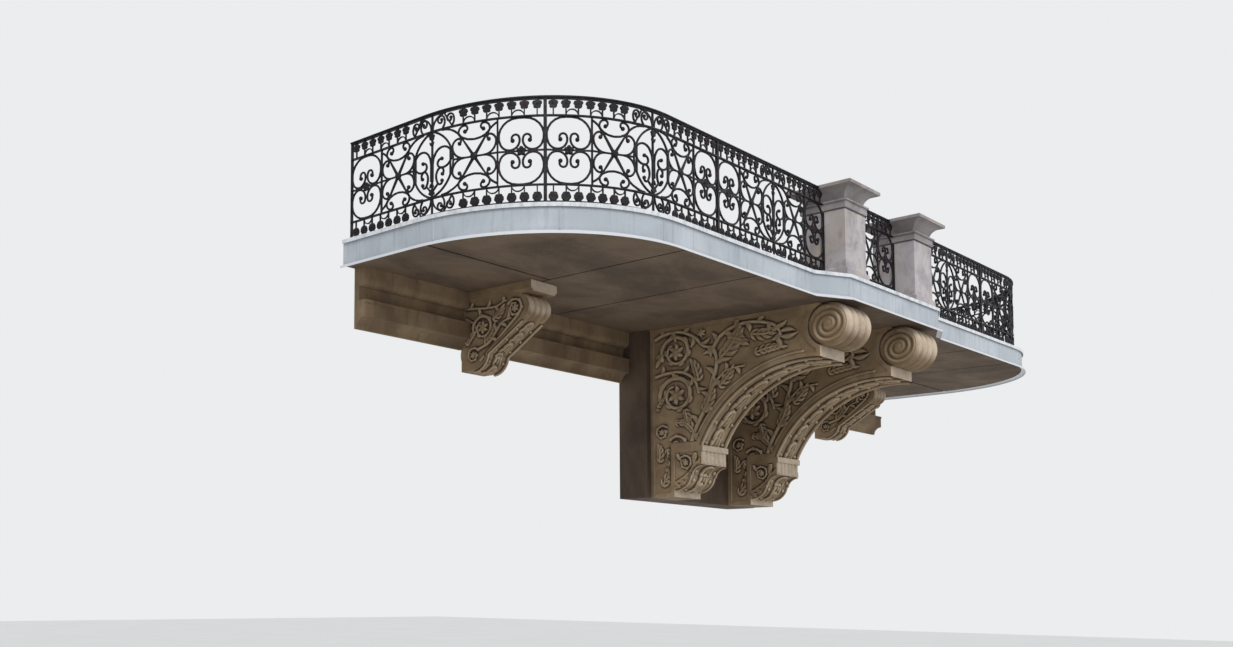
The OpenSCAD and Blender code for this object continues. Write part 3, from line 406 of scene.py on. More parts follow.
class Carving:
    """A sheet of heights in metres on a regular grid of cells. Its leaves stand out by high,
    and a rise of crest times high over the ground nearby is a full crest."""

    def __init__(self, u0, u1, v0, v1, cell, high, crest=1.0):
        self.cell = cell
        self.high = high
        self.top = high * crest
        self.u = np.arange(u0, u1 + cell / 2, cell)
        self.v = np.arange(v0, v1 + cell / 2, cell)
        self.heights = np.zeros((len(self.u), len(self.v)))
        self.inside = np.ones(self.heights.shape, bool)

    def keep(self, test):
        """Keeps the sheet where test(u, v) holds."""
        gu, gv = np.meshgrid(self.u, self.v, indexing="ij")
        self.inside &= test(gu, gv)

    def window(self, low_u, high_u, low_v, high_v):
        a = max(int((low_u - self.u[0]) / self.cell), 0)
        b = min(int((high_u - self.u[0]) / self.cell) + 2, len(self.u))
        c = max(int((low_v - self.v[0]) / self.cell), 0)
        d = min(int((high_v - self.v[0]) / self.cell) + 2, len(self.v))
        return slice(a, b), slice(c, d)

    def ridge(self, points, widths, heights, crown=0.55):
        """A round ridge along points; widths are half widths. A height below 0 cuts."""
        for k in range(len(points) - 1):
            p = np.array(points[k], float)
            q = np.array(points[k + 1], float)
            reach = max(widths[k], widths[k + 1])
            rows, columns = self.window(min(p[0], q[0]) - reach, max(p[0], q[0]) + reach,
                                        min(p[1], q[1]) - reach, max(p[1], q[1]) + reach)
            if rows.stop <= rows.start or columns.stop <= columns.start:
                continue
            gu, gv = np.meshgrid(self.u[rows], self.v[columns], indexing="ij")
            step = q - p
            length = max(float(step @ step), 1e-12)
            t = np.clip(((gu - p[0]) * step[0] + (gv - p[1]) * step[1]) / length, 0, 1)
            away = np.hypot(gu - p[0] - t * step[0], gv - p[1] - t * step[1])
            width = widths[k] + (widths[k + 1] - widths[k]) * t
            height = heights[k] + (heights[k + 1] - heights[k]) * t
            inside = np.clip(1 - (away / np.maximum(width, 1e-6)) ** 2, 0, 1) ** crown
            part = self.heights[rows, columns]
            if heights[k] >= 0:
                np.maximum(part, height * inside, out=part)
            else:
                part += height * inside * (part > -height)
            self.heights[rows, columns] = part

    def dome(self, u, v, radius, tall):
        self.ridge([(u, v), (u + self.cell / 50, v)], [radius] * 2, [self.high * tall] * 2)

    def leaf(self, u, v, angle, length, width, curl=0.0, steps=9, tall=1.0):
        """A pointed leaf; curl turns it along its length."""
        points = [(u, v)]
        turn = angle
        for k in range(steps):
            turn += curl / steps
            last = points[-1]
            points.append((last[0] + math.cos(turn) * length / steps,
                           last[1] + math.sin(turn) * length / steps))
        share = [k / steps for k in range(steps + 1)]
        widths = [max(width * math.sin(math.pi * (0.08 + 0.92 * t) ** 0.75), 0.1 * width)
                  for t in share]
        self.ridge(points, widths, [self.high * tall] * (steps + 1))

    def acanthus(self, u, v, angle, length, width, curl=0.0, pairs=3):
        """A broad leaf: pairs of lobes fan out from its rib, with hollows between them."""
        steps = pairs + 1
        point = (u, v)
        turn = angle
        for k in range(steps):
            share = k / steps
            reach = width * (0.62 + 0.42 * math.sin(math.pi * (0.15 + 0.75 * share)))
            for side in (-1, 1):
                self.leaf(*point, turn + side * (1.20 - 0.60 * share), reach, reach * 0.235,
                          -side * 0.9, 7, 0.95 - 0.20 * share)
            turn += curl / steps
            point = (point[0] + math.cos(turn) * length / steps / 1.2,
                     point[1] + math.sin(turn) * length / steps / 1.2)
        self.leaf(*point, turn, length * 0.30, width * 0.22)
        self.leaf(u, v, angle, length * 0.98, width * 0.15, curl, tall=1.2)

    def spiral(self, u, v, radius, start, turns, width, inner=0.50):
        """A stem that coils inward; turns below 0 coil the other way."""
        count = int(26 * abs(turns))
        points = []
        for k in range(count + 1):
            share = k / count
            r = radius * (1 - (1 - inner) * share)
            a = start + 2 * math.pi * turns * share
            points.append((u + r * math.cos(a), v + r * math.sin(a)))
        widths = [width * (1 - 0.45 * k / count) for k in range(count + 1)]
        self.ridge(points, widths, [self.high] * (count + 1))
        return points

    def flower(self, u, v, radius, petals=6):
        for k in range(petals):
            a = 2 * math.pi * k / petals + 0.3
            self.leaf(u + math.cos(a) * radius * 0.18, v + math.sin(a) * radius * 0.18, a,
                      radius * 0.82, radius * 0.30, 0.5, 6)
        self.dome(u, v, radius * 0.30, 1.25)

    def coil_flower(self, u, v, radius, start, turns, flip=1):
        """A coiled stem with a flower in its eye and leaves that break from both its sides."""
        points = self.spiral(u, v, radius, start, turns * flip, radius * 0.135)
        self.flower(u, v, radius * 0.50)
        for k in range(2, len(points) - 4, 4):
            p = points[k]
            out = math.atan2(p[1] - v, p[0] - u)
            self.leaf(*p, out + flip * 0.8, radius * 0.42, radius * 0.115, flip * 1.3, 6, 0.9)

    def leafy(self, path, first, every, length, width, turn=0.7):
        """Leaves that break from a stem on either side by turns."""
        side = 1
        for k in range(first, len(path) - 2, every):
            self.leaf(*path[k], heading_at(path, k) + side * turn, length, width, side * 0.9, 7)
            side = -side

    def stem(self, points, width, end=0.5, tall=1.0):
        """A smooth stem through points that grows thinner."""
        path = smooth_path(points, 8)
        widths = [width * (1 - (1 - end) * k / (len(path) - 1)) for k in range(len(path))]
        self.ridge(path, widths, [self.high * tall] * len(path))
        return path


def heading_at(path, k):
    return math.atan2(path[k + 1][1] - path[k][1], path[k + 1][0] - path[k][0])


def smooth_path(points, steps):
    """A Catmull-Rom curve through points."""
    p = [np.array(points[0], float)] + [np.array(q, float) for q in points]
    p.append(p[-1])
    path = []
    for k in range(1, len(p) - 2):
        for i in range(steps):
            t = i / steps
            path.append(tuple(0.5 * (2 * p[k] + (p[k + 1] - p[k - 1]) * t
                                     + (2 * p[k - 1] - 5 * p[k] + 4 * p[k + 1] - p[k + 2]) * t ** 2
                                     + (3 * p[k] - p[k - 1] - 3 * p[k + 1] + p[k + 2]) * t ** 3)))
    path.append(tuple(p[-1]))
    return path


# Meshes

def add_object(name, data):
    thing = bpy.data.objects.new(name, data)
    bpy.context.scene.collection.objects.link(thing)
    return thing


def mesh_piece(name, points, faces, material, mirrored, relief=None):
    """A piece of points and faces where they lie, or mirrored across the middle."""
    if mirrored:
        points = points * np.array([-1, 1, 1])
        faces = [f[::-1] for f in faces]
    mesh = bpy.data.meshes.new(name)
    mesh.from_pydata([tuple(map(float, p)) for p in points], [], faces)
    if relief is not None:
        values = mesh.attributes.new("relief", "FLOAT", "POINT")
        values.data.foreach_set("value", np.asarray(relief, dtype=np.float32))
    mesh.polygons.foreach_set("use_smooth", [True] * len(mesh.polygons))
    mesh.materials.append(material)
    mesh.update()
    piece = add_object(name, mesh)
    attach(piece, "root")


def blurred(heights, cells):
    """Heights smoothed over a number of cells both ways."""
    reach = int(3 * cells) + 1
    weights = np.exp(-0.5 * (np.arange(-reach, reach + 1) / cells) ** 2)
    weights /= weights.sum()
    padded = np.pad(heights, reach, mode="edge")
    rows = np.apply_along_axis(np.convolve, 0, padded, weights, "valid")
    return np.apply_along_axis(np.convolve, 1, rows, weights, "valid")


def carved_parts(carving, place):
    """Points and faces of the carved sheet, and how far each point stands from its hollows:
    0.5 on plain ground, less in a hollow, more on a crest."""
    live = carving.inside[:-1, :-1] & carving.inside[1:, 1:]
    rows, columns = np.nonzero(live)
    across = len(carving.v)
    corners = np.stack([rows * across + columns, rows * across + columns + 1,
                        (rows + 1) * across + columns + 1, (rows + 1) * across + columns], 1)
    used, order = np.unique(corners, return_inverse=True)
    faces = order.reshape(corners.shape)
    u = carving.u[used // across]
    v = carving.v[used % across]
    h = carving.heights[used // across, used % across]
    even = blurred(carving.heights, HALO / carving.cell)[used // across, used % across]
    # The stone's material paints shade in the hollows and a highlight on the crests from this
    # value.
    relief = np.clip(0.5 + (h - even) / carving.top, 0, 1)
    return place(u, v, h + GROUND), faces, relief


def carved_piece(name, carving, place, mirrored, material, turned=False):
    """One mesh of a carved sheet; turned is for a sheet that looks the other way."""
    points, faces, relief = carved_parts(carving, place)
    if turned:
        faces = faces[:, ::-1]
    mesh_piece(name, points, faces.tolist(), material, mirrored, relief)


def side_place(x, outward):
    """u is the distance from the wall, v the height over the soffit."""
    def place(u, v, h):
        return np.stack([x + outward * h, -u, SOFFIT_Z + v], 1)
    return place


def profile_place(profile, x):
    """u runs up a profile of (distance from the wall, height), v across it; the carving
    stands out from the wall and downward."""
    p = np.array(profile)
    steps = np.hypot(*np.diff(p, axis=0).T)
    along = np.concatenate([[0], np.cumsum(steps)])
    slope = np.gradient(p, along, axis=0)
    slope /= np.linalg.norm(slope, axis=1)[:, None]

    def place(u, v, h):
        y = np.interp(u, along, p[:, 0])
        z = np.interp(u, along, p[:, 1])
        ty = np.interp(u, along, slope[:, 0])
        tz = np.interp(u, along, slope[:, 1])
        return np.stack([x + v, -(y + tz * h), z - ty * h], 1)
    return place, along[-1]


def arc(u, v, radius, first, last, count):
    """Points of an arc round (u, v), from one angle to another."""
    return [(u + radius * math.cos(a), v + radius * math.sin(a))
            for a in np.linspace(first, last, count)]


# Console

def console_side_carving():
    """Two large coils with flowers, two small ones, and a stem with leaves that rises to
    the roll, laid out in (distance from the wall, height over the soffit)."""
    c = Carving(BACKING_D + BORDER_W, BEAK_Y, -CONSOLE_H + BORDER_W, -BORDER_W, CONSOLE_CELL,
                0.034)
    c.coil_flower(0.73, -0.30, 0.200, 3.5, 1.2, -1)
    c.coil_flower(0.73, -0.80, 0.225, 3.3, 1.2, -1)
    c.coil_flower(0.535, -1.22, 0.085, 0.8, 1.0, 1)
    c.coil_flower(0.74, -1.40, 0.130, 2.4, 1.1, -1)
    upper = c.stem([(0.46, -0.12), (0.58, -0.075), (0.78, -0.07), (0.96, -0.15), (1.08, -0.27),
                    (1.20, -0.30)], 0.024, 0.7)
    c.leafy(upper, 6, 6, 0.13, 0.030)
    between = c.stem([(0.46, -0.56), (0.60, -0.535), (0.80, -0.54), (0.96, -0.64),
                      (1.02, -0.80)], 0.022, 0.7)
    c.leafy(between, 5, 6, 0.11, 0.027)
    rising = c.stem([(0.60, -1.66), (0.80, -1.62), (0.90, -1.52), (0.92, -1.36), (0.98, -1.20),
                     (1.08, -1.02), (1.16, -0.88), (1.18, -0.72), (1.23, -0.58), (1.25, -0.44),
                     (1.20, -0.30)], 0.030, 0.7)
    c.leafy(rising, 6, 7, 0.15, 0.033)
    branch = c.stem([(1.16, -0.80), (1.28, -0.66), (1.38, -0.585), (1.58, -0.56)], 0.022)
    c.leafy(branch, 5, 5, 0.10, 0.026)
    over = c.stem([(1.20, -0.32), (1.30, -0.19), (1.46, -0.11), (1.64, -0.085), (1.82, -0.11),
                   (1.96, -0.17), (2.02, -0.27), (1.98, -0.34)], 0.026, 0.6)
    c.leafy(over, 5, 6, 0.13, 0.032)
    c.acanthus(1.30, -0.44, 0.60, 0.40, 0.165, 0.5, 4)
    c.acanthus(1.40, -0.22, -0.15, 0.24, 0.110, -0.4)
    c.acanthus(1.68, -0.22, -0.30, 0.30, 0.125, 0.5)
    c.acanthus(1.72, -0.44, 0.35, 0.34, 0.095, -0.4, 4)
    c.acanthus(1.08, -1.02, 0.95, 0.28, 0.120, 0.3)
    c.acanthus(1.28, -0.76, 0.60, 0.26, 0.100, 0.4)
    c.acanthus(1.02, -0.66, 1.60, 0.26, 0.105, 0.5)
    c.acanthus(0.96, -1.24, 2.10, 0.22, 0.095, 0.6)
    c.acanthus(0.54, -1.84, 1.00, 0.28, 0.110, -0.4)
    c.acanthus(0.50, -1.56, 1.30, 0.20, 0.085, 0.5)
    c.acanthus(0.72, -1.12, -0.20, 0.22, 0.080, 0.6)
    c.acanthus(0.47, -0.96, 1.30, 0.20, 0.050, -0.6)
    c.acanthus(0.60, -1.42, -1.20, 0.18, 0.075, 0.5)
    c.acanthus(0.66, -1.70, 2.00, 0.16, 0.070, -0.5)
    c.acanthus(0.84, -0.98, -1.10, 0.20, 0.085, -0.5)
    c.leaf(0.47, -0.44, 1.3, 0.18, 0.034, -0.8)
    c.leaf(2.04, -0.30, -0.3, 0.18, 0.032, 0.8)
    c.leaf(2.04, -0.24, 0.4, 0.15, 0.030, -0.9)
    c.flower(1.06, -0.12, 0.050)
    c.flower(0.50, -0.33, 0.040)
    c.keep(on_console_panel)
    line = arch_line(BORDER_W + 0.020)
    c.ridge(line, [0.018] * len(line), [c.high * 0.5] * len(line))
    return c


def arch_line(out):
    """A line that follows the arch at a distance, as (u, v) of the console's side."""
    first = math.pi - math.asin((NECK_Z - ARCH_Z + BORDER_W) / ARCH_R)
    return arc(ARCH_Y, ARCH_Z - SOFFIT_Z, ARCH_R + out, first, math.pi / 2 + 0.02, 60)


def on_console_panel(u, v):
    """The sunk panel of a console's side: inside the border, the arch and the roll."""
    in_arch = np.hypot(u - ARCH_Y, v - ARCH_Z + SOFFIT_Z) < ARCH_R + BORDER_W
    in_roll = np.hypot(u - VOLUTE_Y, v - VOLUTE_Z + SOFFIT_Z) < VOLUTE_R + BORDER_W
    beside_leaf = (v < NECK_Z - SOFFIT_Z + BORDER_W) & (u > COLUMN_Y - BORDER_W)
    return ~(in_arch | in_roll | beside_leaf)


def console_under_carving():
    """The underside of the arch: two raised edges and a chain of leaves between them."""
    first = math.pi - math.asin((NECK_Z - ARCH_Z) / ARCH_R)
    last = math.acos((BEAK_Y - ARCH_Y) / ARCH_R)
    place, length = profile_place(arc(ARCH_Y, ARCH_Z, ARCH_R, first, last, 90), PIER_X)
    half = CONSOLE_W / 2
    c = Carving(0.0, length, -half, half, UNDER_CELL, 0.042, 0.6)
    raised_edges(c, length, half, 0.028, 0.8)
    leaf_chain(c, length, 7, 0.90, 0.92, half - 0.058)
    return c, place


def raised_edges(c, length, half, width, tall):
    count = 40
    for side in (-1, 1):
        edge = [(t, side * (half - width)) for t in np.linspace(0, length, count)]
        c.ridge(edge, [width] * count, [c.high * tall] * count)


def leaf_chain(c, length, leaves, first, share, reach):
    """Leaves one behind the other; first and share are parts of the step between them."""
    step = length / leaves
    for k in range(leaves):
        leaf_cluster(c, step * (k + first), step * share, reach)


def leaf_cluster(c, start, step, reach):
    """Lobes that fan out from a rib and curl back at their tips, from u = start downward."""
    c.leaf(start, 0.0, math.pi, step * 0.90, reach * 0.13, tall=1.1)
    for side in (-1, 1):
        for j, (share, turn, long) in enumerate(((0.00, 0.90, 0.95), (0.42, 1.05, 0.80))):
            c.leaf(start - step * share, side * reach * 0.06, math.pi - side * turn,
                   reach * long, reach * 0.125, side * 1.3, 8, 1.0 - 0.1 * j)
        c.dome(start - step * 0.80, side * reach * 0.78, reach * 0.10, 0.7)


def bell_profile():
    """From the neck band over the bell, in under it and round the leaf to the column."""
    swell_r = LEAF_DROP * 0.366
    hollow_r = LEAF_DROP * 0.285
    bell_low = HOLLOW_Z + math.sqrt(hollow_r ** 2 - (HOLLOW_Y - BELL_FRONT) ** 2)
    points = [(BELL_FRONT, z) for z in np.linspace(BAND_Z, bell_low, 8)]
    points += arc(HOLLOW_Y, HOLLOW_Z, hollow_r, math.radians(95), math.radians(168), 16)
    points += arc(SWELL_Y, SWELL_Z, swell_r, math.radians(-2), math.radians(-93), 24)
    return points, BAND_Z - bell_low


def console_leaf_carving():
    """One large leaf that wraps the swell below the bell."""
    profile, bell = bell_profile()
    place, length = profile_place(profile[::-1], PIER_X)
    half = CONSOLE_W / 2 - PANEL_D
    start = length - bell * 1.02
    c = Carving(0.0, start, -half, half, LEAF_CELL, 0.032, 0.6)
    raised_edges(c, start, half, 0.014, 0.6)
    for k in range(3):
        leaf_cluster(c, start * (0.98 - 0.30 * k), start * 0.32, half * (0.94 - 0.10 * k))
    return c, place


def leaf_side_carving():
    """The same leaf seen from the side of the console: it sweeps down and toward the wall."""
    c = Carving(COLUMN_Y, BELL_FRONT, FOOT_Z - SOFFIT_Z, BAND_Z - SOFFIT_Z, LEAF_CELL, 0.026)
    top = BAND_Z - SOFFIT_Z
    rib = c.stem([(1.02, top - 0.10), (0.98, top - 0.20), (0.90, top - 0.29),
                  (0.80, top - 0.36), (0.70, top - 0.41)], 0.022, 0.7)
    for k in range(2, len(rib) - 2, 5):
        along = heading_at(rib, k)
        c.leaf(*rib[k], along - 0.9, 0.150, 0.028, 0.7, 7)
        c.leaf(*rib[k], along + 0.9, 0.110, 0.026, -0.7, 7)
    c.coil_flower(0.835, top - 0.125, 0.085, 2.4, 1.1, -1)
    c.acanthus(0.96, top - 0.02, -1.9, 0.12, 0.055, 0.3)
    c.leaf(0.73, top - 0.02, -1.3, 0.10, 0.022, 0.6)
    c.keep(on_leaf_side)
    return c


def on_leaf_side(u, v):
    """The side of the bell and of the swell under it, without the hollow between them."""
    swell_v = SWELL_Z - SOFFIT_Z
    in_leaf = np.hypot(u - SWELL_Y, v - swell_v) < LEAF_DROP * 0.36
    in_bell = (v > swell_v) & (u < BELL_FRONT - 0.004)
    in_hollow = np.hypot(u - HOLLOW_Y, v - HOLLOW_Z + SOFFIT_Z) < LEAF_DROP * 0.29
    return (in_leaf | in_bell) & ~in_hollow & (u > COLUMN_Y + 0.002)


def coil_path(r, centre_u, centre_v):
    """The coil on the end of the roll: half circles that grow smaller."""
    outer = r * 0.9
    closer = r * 0.155
    top = outer
    points = []
    for k in range(6):
        radius = outer - closer * k
        down = 1 if k % 2 == 0 else -1
        middle = top - down * radius
        for a in np.linspace(0, math.pi, 14):
            points.append((centre_u + down * radius * math.sin(a),
                           centre_v + middle + down * radius * math.cos(a)))
        top = middle - down * radius
    return points


def volute_end_carving():
    """The soft coil on each end of the roll, with its eye, over the source's coil."""
    reach = VOLUTE_CORE * 0.985
    centre_v = VOLUTE_Z - SOFFIT_Z
    c = Carving(VOLUTE_Y - reach, VOLUTE_Y + reach, centre_v - reach, centre_v + reach,
                COIL_CELL, 0.020, 3.0)
    path = coil_path(VOLUTE_CORE, VOLUTE_Y, centre_v)
    c.ridge(path, [0.024] * len(path), [c.high] * len(path), 0.9)
    c.dome(VOLUTE_Y, centre_v, VOLUTE_CORE * 0.26, 1.25)
    c.keep(lambda u, v: np.hypot(u - VOLUTE_Y, v - centre_v) < reach)
    return c


def both_faces(name, sheet, x, half, material, mirrored):
    """A carving on the inner and the outer side of one console or bracket."""
    for outward, face in ((-1, "inner"), (1, "outer")):
        carved_piece(f"{name}_{face}", sheet, side_place(x + outward * half, outward), mirrored,
                     material, outward < 0)


def build_consoles(material):
    side = console_side_carving()
    under, under_place = console_under_carving()
    leaf, leaf_place = console_leaf_carving()
    flank = leaf_side_carving()
    coil = volute_end_carving()
    half = CONSOLE_W / 2
    sunk = half - PANEL_D
    for mirrored, name in SIDES:
        both_faces(f"console_{name}_carving", side, PIER_X, sunk, material, mirrored)
        both_faces(f"console_{name}_coil", coil, PIER_X, half, material, mirrored)
        both_faces(f"console_{name}_leaf_flank", flank, PIER_X, sunk, material, mirrored)
        carved_piece(f"console_{name}_underside_leaves", under, under_place, mirrored, material)
        carved_piece(f"console_{name}_bell_leaves", leaf, leaf_place, mirrored, material)


# Small brackets

def bracket_side_carving():
    """A coil with a flower, a small coil by the roll and leaves between them."""
    c = Carving(0.0, BRACKET_D, -BRACKET_H, -ABACUS_H - 0.010, BRACKET_CELL, 0.024)
    c.coil_flower(0.30, -0.385, 0.135, 3.4, 1.2, -1)
    c.coil_flower(0.72, -0.245, 0.095, 2.6, 1.2, -1)
    c.coil_flower(0.17, -0.655, 0.080, 0.6, 1.0, 1)
    lower = c.stem([(0.24, -0.60), (0.38, -0.55), (0.47, -0.46), (0.55, -0.37), (0.66, -0.34)],
                   0.017)
    c.leafy(lower, 5, 6, 0.09, 0.021)
    upper = c.stem([(0.06, -0.16), (0.18, -0.17), (0.34, -0.19), (0.48, -0.19), (0.60, -0.15)],
                   0.016)
    c.leafy(upper, 5, 6, 0.09, 0.021)
    c.acanthus(0.44, -0.33, 0.50, 0.18, 0.080, 0.4)
    c.acanthus(0.08, -0.54, 1.20, 0.18, 0.070, -0.6)
    c.acanthus(0.36, -0.53, 0.60, 0.18, 0.060, 0.6)
    c.leaf(0.06, -0.26, -0.9, 0.14, 0.024, 0.9)
    line = [(BRACKET_FOOT_Y + 0.10, BRACKET_FOOT_Z - SOFFIT_Z - 0.085),
            (BRACKET_ROLL_Y - 0.02, BRACKET_ROLL_Z - SOFFIT_Z - 0.075)]
    c.stem(line, 0.014, 1.0, 0.8)
    c.keep(on_bracket_side)
    return c


def on_bracket_side(u, v):
    """Inside the outline of a bracket's body."""
    margin = 0.012
    length = math.hypot(BRACKET_RUN, BRACKET_RISE)
    from_foot = u - BRACKET_FOOT_Y
    up_foot = v - (BRACKET_FOOT_Z - SOFFIT_Z)
    along = (from_foot * BRACKET_RUN + up_foot * BRACKET_RISE) / length
    over = (up_foot * BRACKET_RUN - from_foot * BRACKET_RISE) / length
    above_line = (over > -BRACKET_ROLL * 0.84 + margin) & (along > 0)
    in_foot = np.hypot(from_foot, up_foot) < BRACKET_FOOT_R - margin
    by_wall = u < BRACKET_FOOT_Y
    in_roll = np.hypot(u - BRACKET_ROLL_Y, v - BRACKET_ROLL_Z + SOFFIT_Z) < BRACKET_ROLL * 0.80
    behind_roll = u < BRACKET_ROLL_Y
    return ((above_line & behind_roll) | in_foot | by_wall | in_roll) & (u > 0.004)


def bracket_under_carving():
    """The sloping underside and the foot: raised edges and a chain of leaves."""
    lean = math.atan2(BRACKET_RISE, BRACKET_RUN)
    roll = BRACKET_ROLL - BRACKET_W / BRACKET_RIDGES * RIDGE_RISE
    meet = math.acos(roll / BRACKET_FOOT_R)
    profile = arc(BRACKET_FOOT_Y, BRACKET_FOOT_Z, BRACKET_FOOT_R, -math.pi / 2,
                  lean - math.pi / 2 + meet, 16)
    for t in np.linspace(0.30, 0.92, 24):
        profile.append((BRACKET_FOOT_Y + BRACKET_RUN * t + roll * math.sin(lean),
                        BRACKET_FOOT_Z + BRACKET_RISE * t - roll * math.cos(lean)))
    place, length = profile_place(profile, BRACKET_X)
    half = BRACKET_W / 2
    c = Carving(0.0, length, -half, half, BRACKET_CELL, 0.030, 0.6)
    raised_edges(c, length, half, 0.017, 0.8)
    leaf_chain(c, length, 5, 0.95, 1.0, half - 0.036)
    return c, place


def build_brackets(material):
    side = bracket_side_carving()
    under, under_place = bracket_under_carving()
    for mirrored, name in SIDES:
        both_faces(f"bracket_{name}_carving", side, BRACKET_X, BRACKET_W / 2, material, mirrored)
        carved_piece(f"bracket_{name}_underside_leaves", under, under_place, mirrored, material)


# Ironwork

def on_rail(s):
    """Point of the right railing at distance s from the wall and its direction outward."""
    if s < SIDE_LEN:
        return HALF_W - RAIL_INSET, -s, 0.0
    if s < SIDE_LEN + ARC_LEN:
        a = (s - SIDE_LEN) / RAIL_R
        return FRONT_X + RAIL_R * math.cos(a), -SIDE_LEN - RAIL_R * math.sin(a), -a
    return FRONT_X - (s - SIDE_LEN - ARC_LEN), -RAIL_Y, -math.pi / 2


def half_spot(n, u, s):
    """Distance along the railing of a spot s from the end of bay n where half u starts."""
    return n * BAY_LEN + (s if u == 0 else BAY_LEN - s)


def rounded_faces(rows, around, closed):
    """Faces from an apex, point 0, down over rows of points; closed adds a lower apex."""
    last = rows * around + 1
    faces = []
    for j in range(around):
        k = (j + 1) % around
        faces.append((0, 1 + j, 1 + k))
        if closed:
            faces.append((last, last - around + k, last - around + j))
        for i in range(rows - 1):
            row = 1 + i * around
            faces.append((row + j, row + around + j, row + around + k, row + k))
    return faces


def petal_dome(rings, around, radius, height):
    """Points and faces of a low dome round the origin, which rises along z."""
    points = [(0.0, 0.0, height)]
    for i in range(1, rings + 1):
        lift = math.cos(math.pi / 2 * i / rings)
        for j in range(around):
            a = 2 * math.pi * j / around
            r = radius * math.sin(math.pi / 2 * i / rings)
            points.append((r * math.cos(a), r * math.sin(a), height * lift))
    return np.array(points), rounded_faces(rings, around, False)


def joined(parts):
    """Several parts as one, as its points and its faces."""
    faces = []
    total = 0
    for points, part_faces in parts:
        faces += [tuple(i + total for i in f) for f in part_faces]
        total += len(points)
    return np.concatenate([points for points, _ in parts]), faces


def rosette_parts():
    """A five petal rosette in its own plane, x and y across, z toward the viewer."""
    petal, petal_faces = petal_dome(3, 10, ROSETTE_R * 0.40, 0.007)
    parts = []
    for k in range(5):
        a = math.radians(90 + 72 * k)
        centre = np.array([math.cos(a), math.sin(a), 0]) * ROSETTE_R * 0.58
        parts.append((petal + centre, petal_faces))
    return joined(parts + [petal_dome(3, 10, ROSETTE_R * 0.30, 0.011)])


def axes(angle):
    """The directions outward and along at an angle of the railing or the fascia."""
    out = np.array([math.cos(angle), math.sin(angle), 0.0])
    along = np.array([-math.sin(angle), math.cos(angle), 0.0])
    return out, along


def set_at(parts, spot, z, side):
    """Puts a flat ornament on the outer or inner side of the railing, z over the deck; a
    spot is x, y and the direction outward."""
    points, faces = parts
    x, y, angle = spot
    out, along = axes(angle)
    lift = SCROLL_DEPTH / 2 - SET_IN
    placed = (np.array([x, y, DECK_Z + z]) + points[:, :1] * (along * side)
              + points[:, 1:2] * UP + (points[:, 2:] + lift) * (out * side))
    return placed, faces


def gather(name, placed, material, mirrored):
    points, faces = joined(placed)
    mesh_piece(name, points, faces, material, mirrored)


def ornaments(spots, ring_spots, star_spot, side):
    """Rosettes of both friezes at spots and of the rings, and the boss of a star."""
    rosette = rosette_parts()
    placed = [set_at(rosette, spot, z, side) for spot in spots for z in ROSETTE_ROWS]
    placed.append(set_at(petal_dome(4, 14, BOSS_R, BOSS_H), star_spot, FIELD_Z, side))
    return placed + [set_at(rosette, spot, FIELD_Z, side) for spot in ring_spots]


def bay_ornaments(n):
    """Rosettes and bosses of one bay of the right railing."""
    run = HALF_BAY - POST_W - FRIEZE_ZONE
    count = int(run / ROSETTE_PITCH + 0.2)
    step = run / count
    placed = []
    for u in (0, 1):
        spots = [on_rail(half_spot(n, u, POST_W + step * (k + 0.5))) for k in range(count)]
        ring = on_rail(half_spot(n, u, RING_LEN / 2))
        star = on_rail(half_spot(n, u, RING_LEN + STAR_LEN / 2))
        for side in (-1, 1):
            placed += ornaments(spots, [ring], star, side)
    return placed


def centre_ornaments():
    """Rosettes and bosses of the panel between the piers."""
    count = int(CENTRE_LEN / ROSETTE_PITCH)
    step = (CENTRE_LEN - 2 * POST_W) / count
    front = -math.pi / 2
    spots = [(-CENTRE_LEN / 2 + POST_W + step * (k + 0.5), -RAIL_Y, front)
             for k in range(count)]
    rings = [(x, -RAIL_Y, front) for x in (-CENTRE_RING_X, CENTRE_RING_X)]
    star = (0.0, -RAIL_Y, front)
    return [part for side in (-1, 1) for part in ornaments(spots, rings, star, side)]


def build_along_rail(kind, in_bay_of, in_centre, material):
    """Iron pieces of one kind: one for each bay, and one between the piers."""
    for n in range(BAY_COUNT):
        for mirrored, name in SIDES:
            gather(f"{kind}_{name}_{n + 1}", in_bay_of(n), material, mirrored)
    gather(f"{kind}_centre", in_centre(), material, False)


# Round forged bars along the scrolls, with a ball on each scroll's end

def scroll_path(x, z, heading, steps, fine=15):
    """Points along a scroll of arcs; each step is its radius and its turn in degrees."""
    path = [(x, z)]
    for radius, turn in steps:
        side = 1 if turn > 0 else -1
        a = math.radians(heading)
        middle_x = x - radius * side * math.sin(a)
        middle_z = z + radius * side * math.cos(a)
        count = max(int(abs(turn) / fine), 2)
        for k in range(1, count + 1):
            b = math.radians(heading - side * 90 + turn * k / count)
            path.append((middle_x + radius * math.cos(b), middle_z + radius * math.sin(b)))
        x, z = path[-1]
        heading += turn
    return path


def four_ways(path):
    return [[(i * x, j * z) for x, z in path] for i in (-1, 1) for j in (-1, 1)]


def moved(paths, across):
    return [[(x + across, z) for x, z in path] for path in paths]


def within(paths, half):
    """The paths' points that lie no further than half from the middle."""
    kept = [[(x, z) for x, z in path if abs(x) <= half] for path in paths]
    return [path for path in kept if len(path) > 1]


def ring_scrolls(w):
    """The scrolls of a ring panel w wide, from its middle."""
    reach = w / 2 - LEAN
    big = reach * 0.84
    mid = big * 0.53
    dip = math.degrees(math.asin((SEAT_Z - big - mid - LEAN) / (big - mid)))
    return four_ways(scroll_path(reach - big, SEAT_Z, 0, ((big, -90 - dip), (mid, dip - 200),
                                                          (big * 0.20, -200))))


def star_node(w):
    """Where the star's arm meets its stem, from the middle of a star panel w wide."""
    return w * 0.28, FIELD_H * 0.31


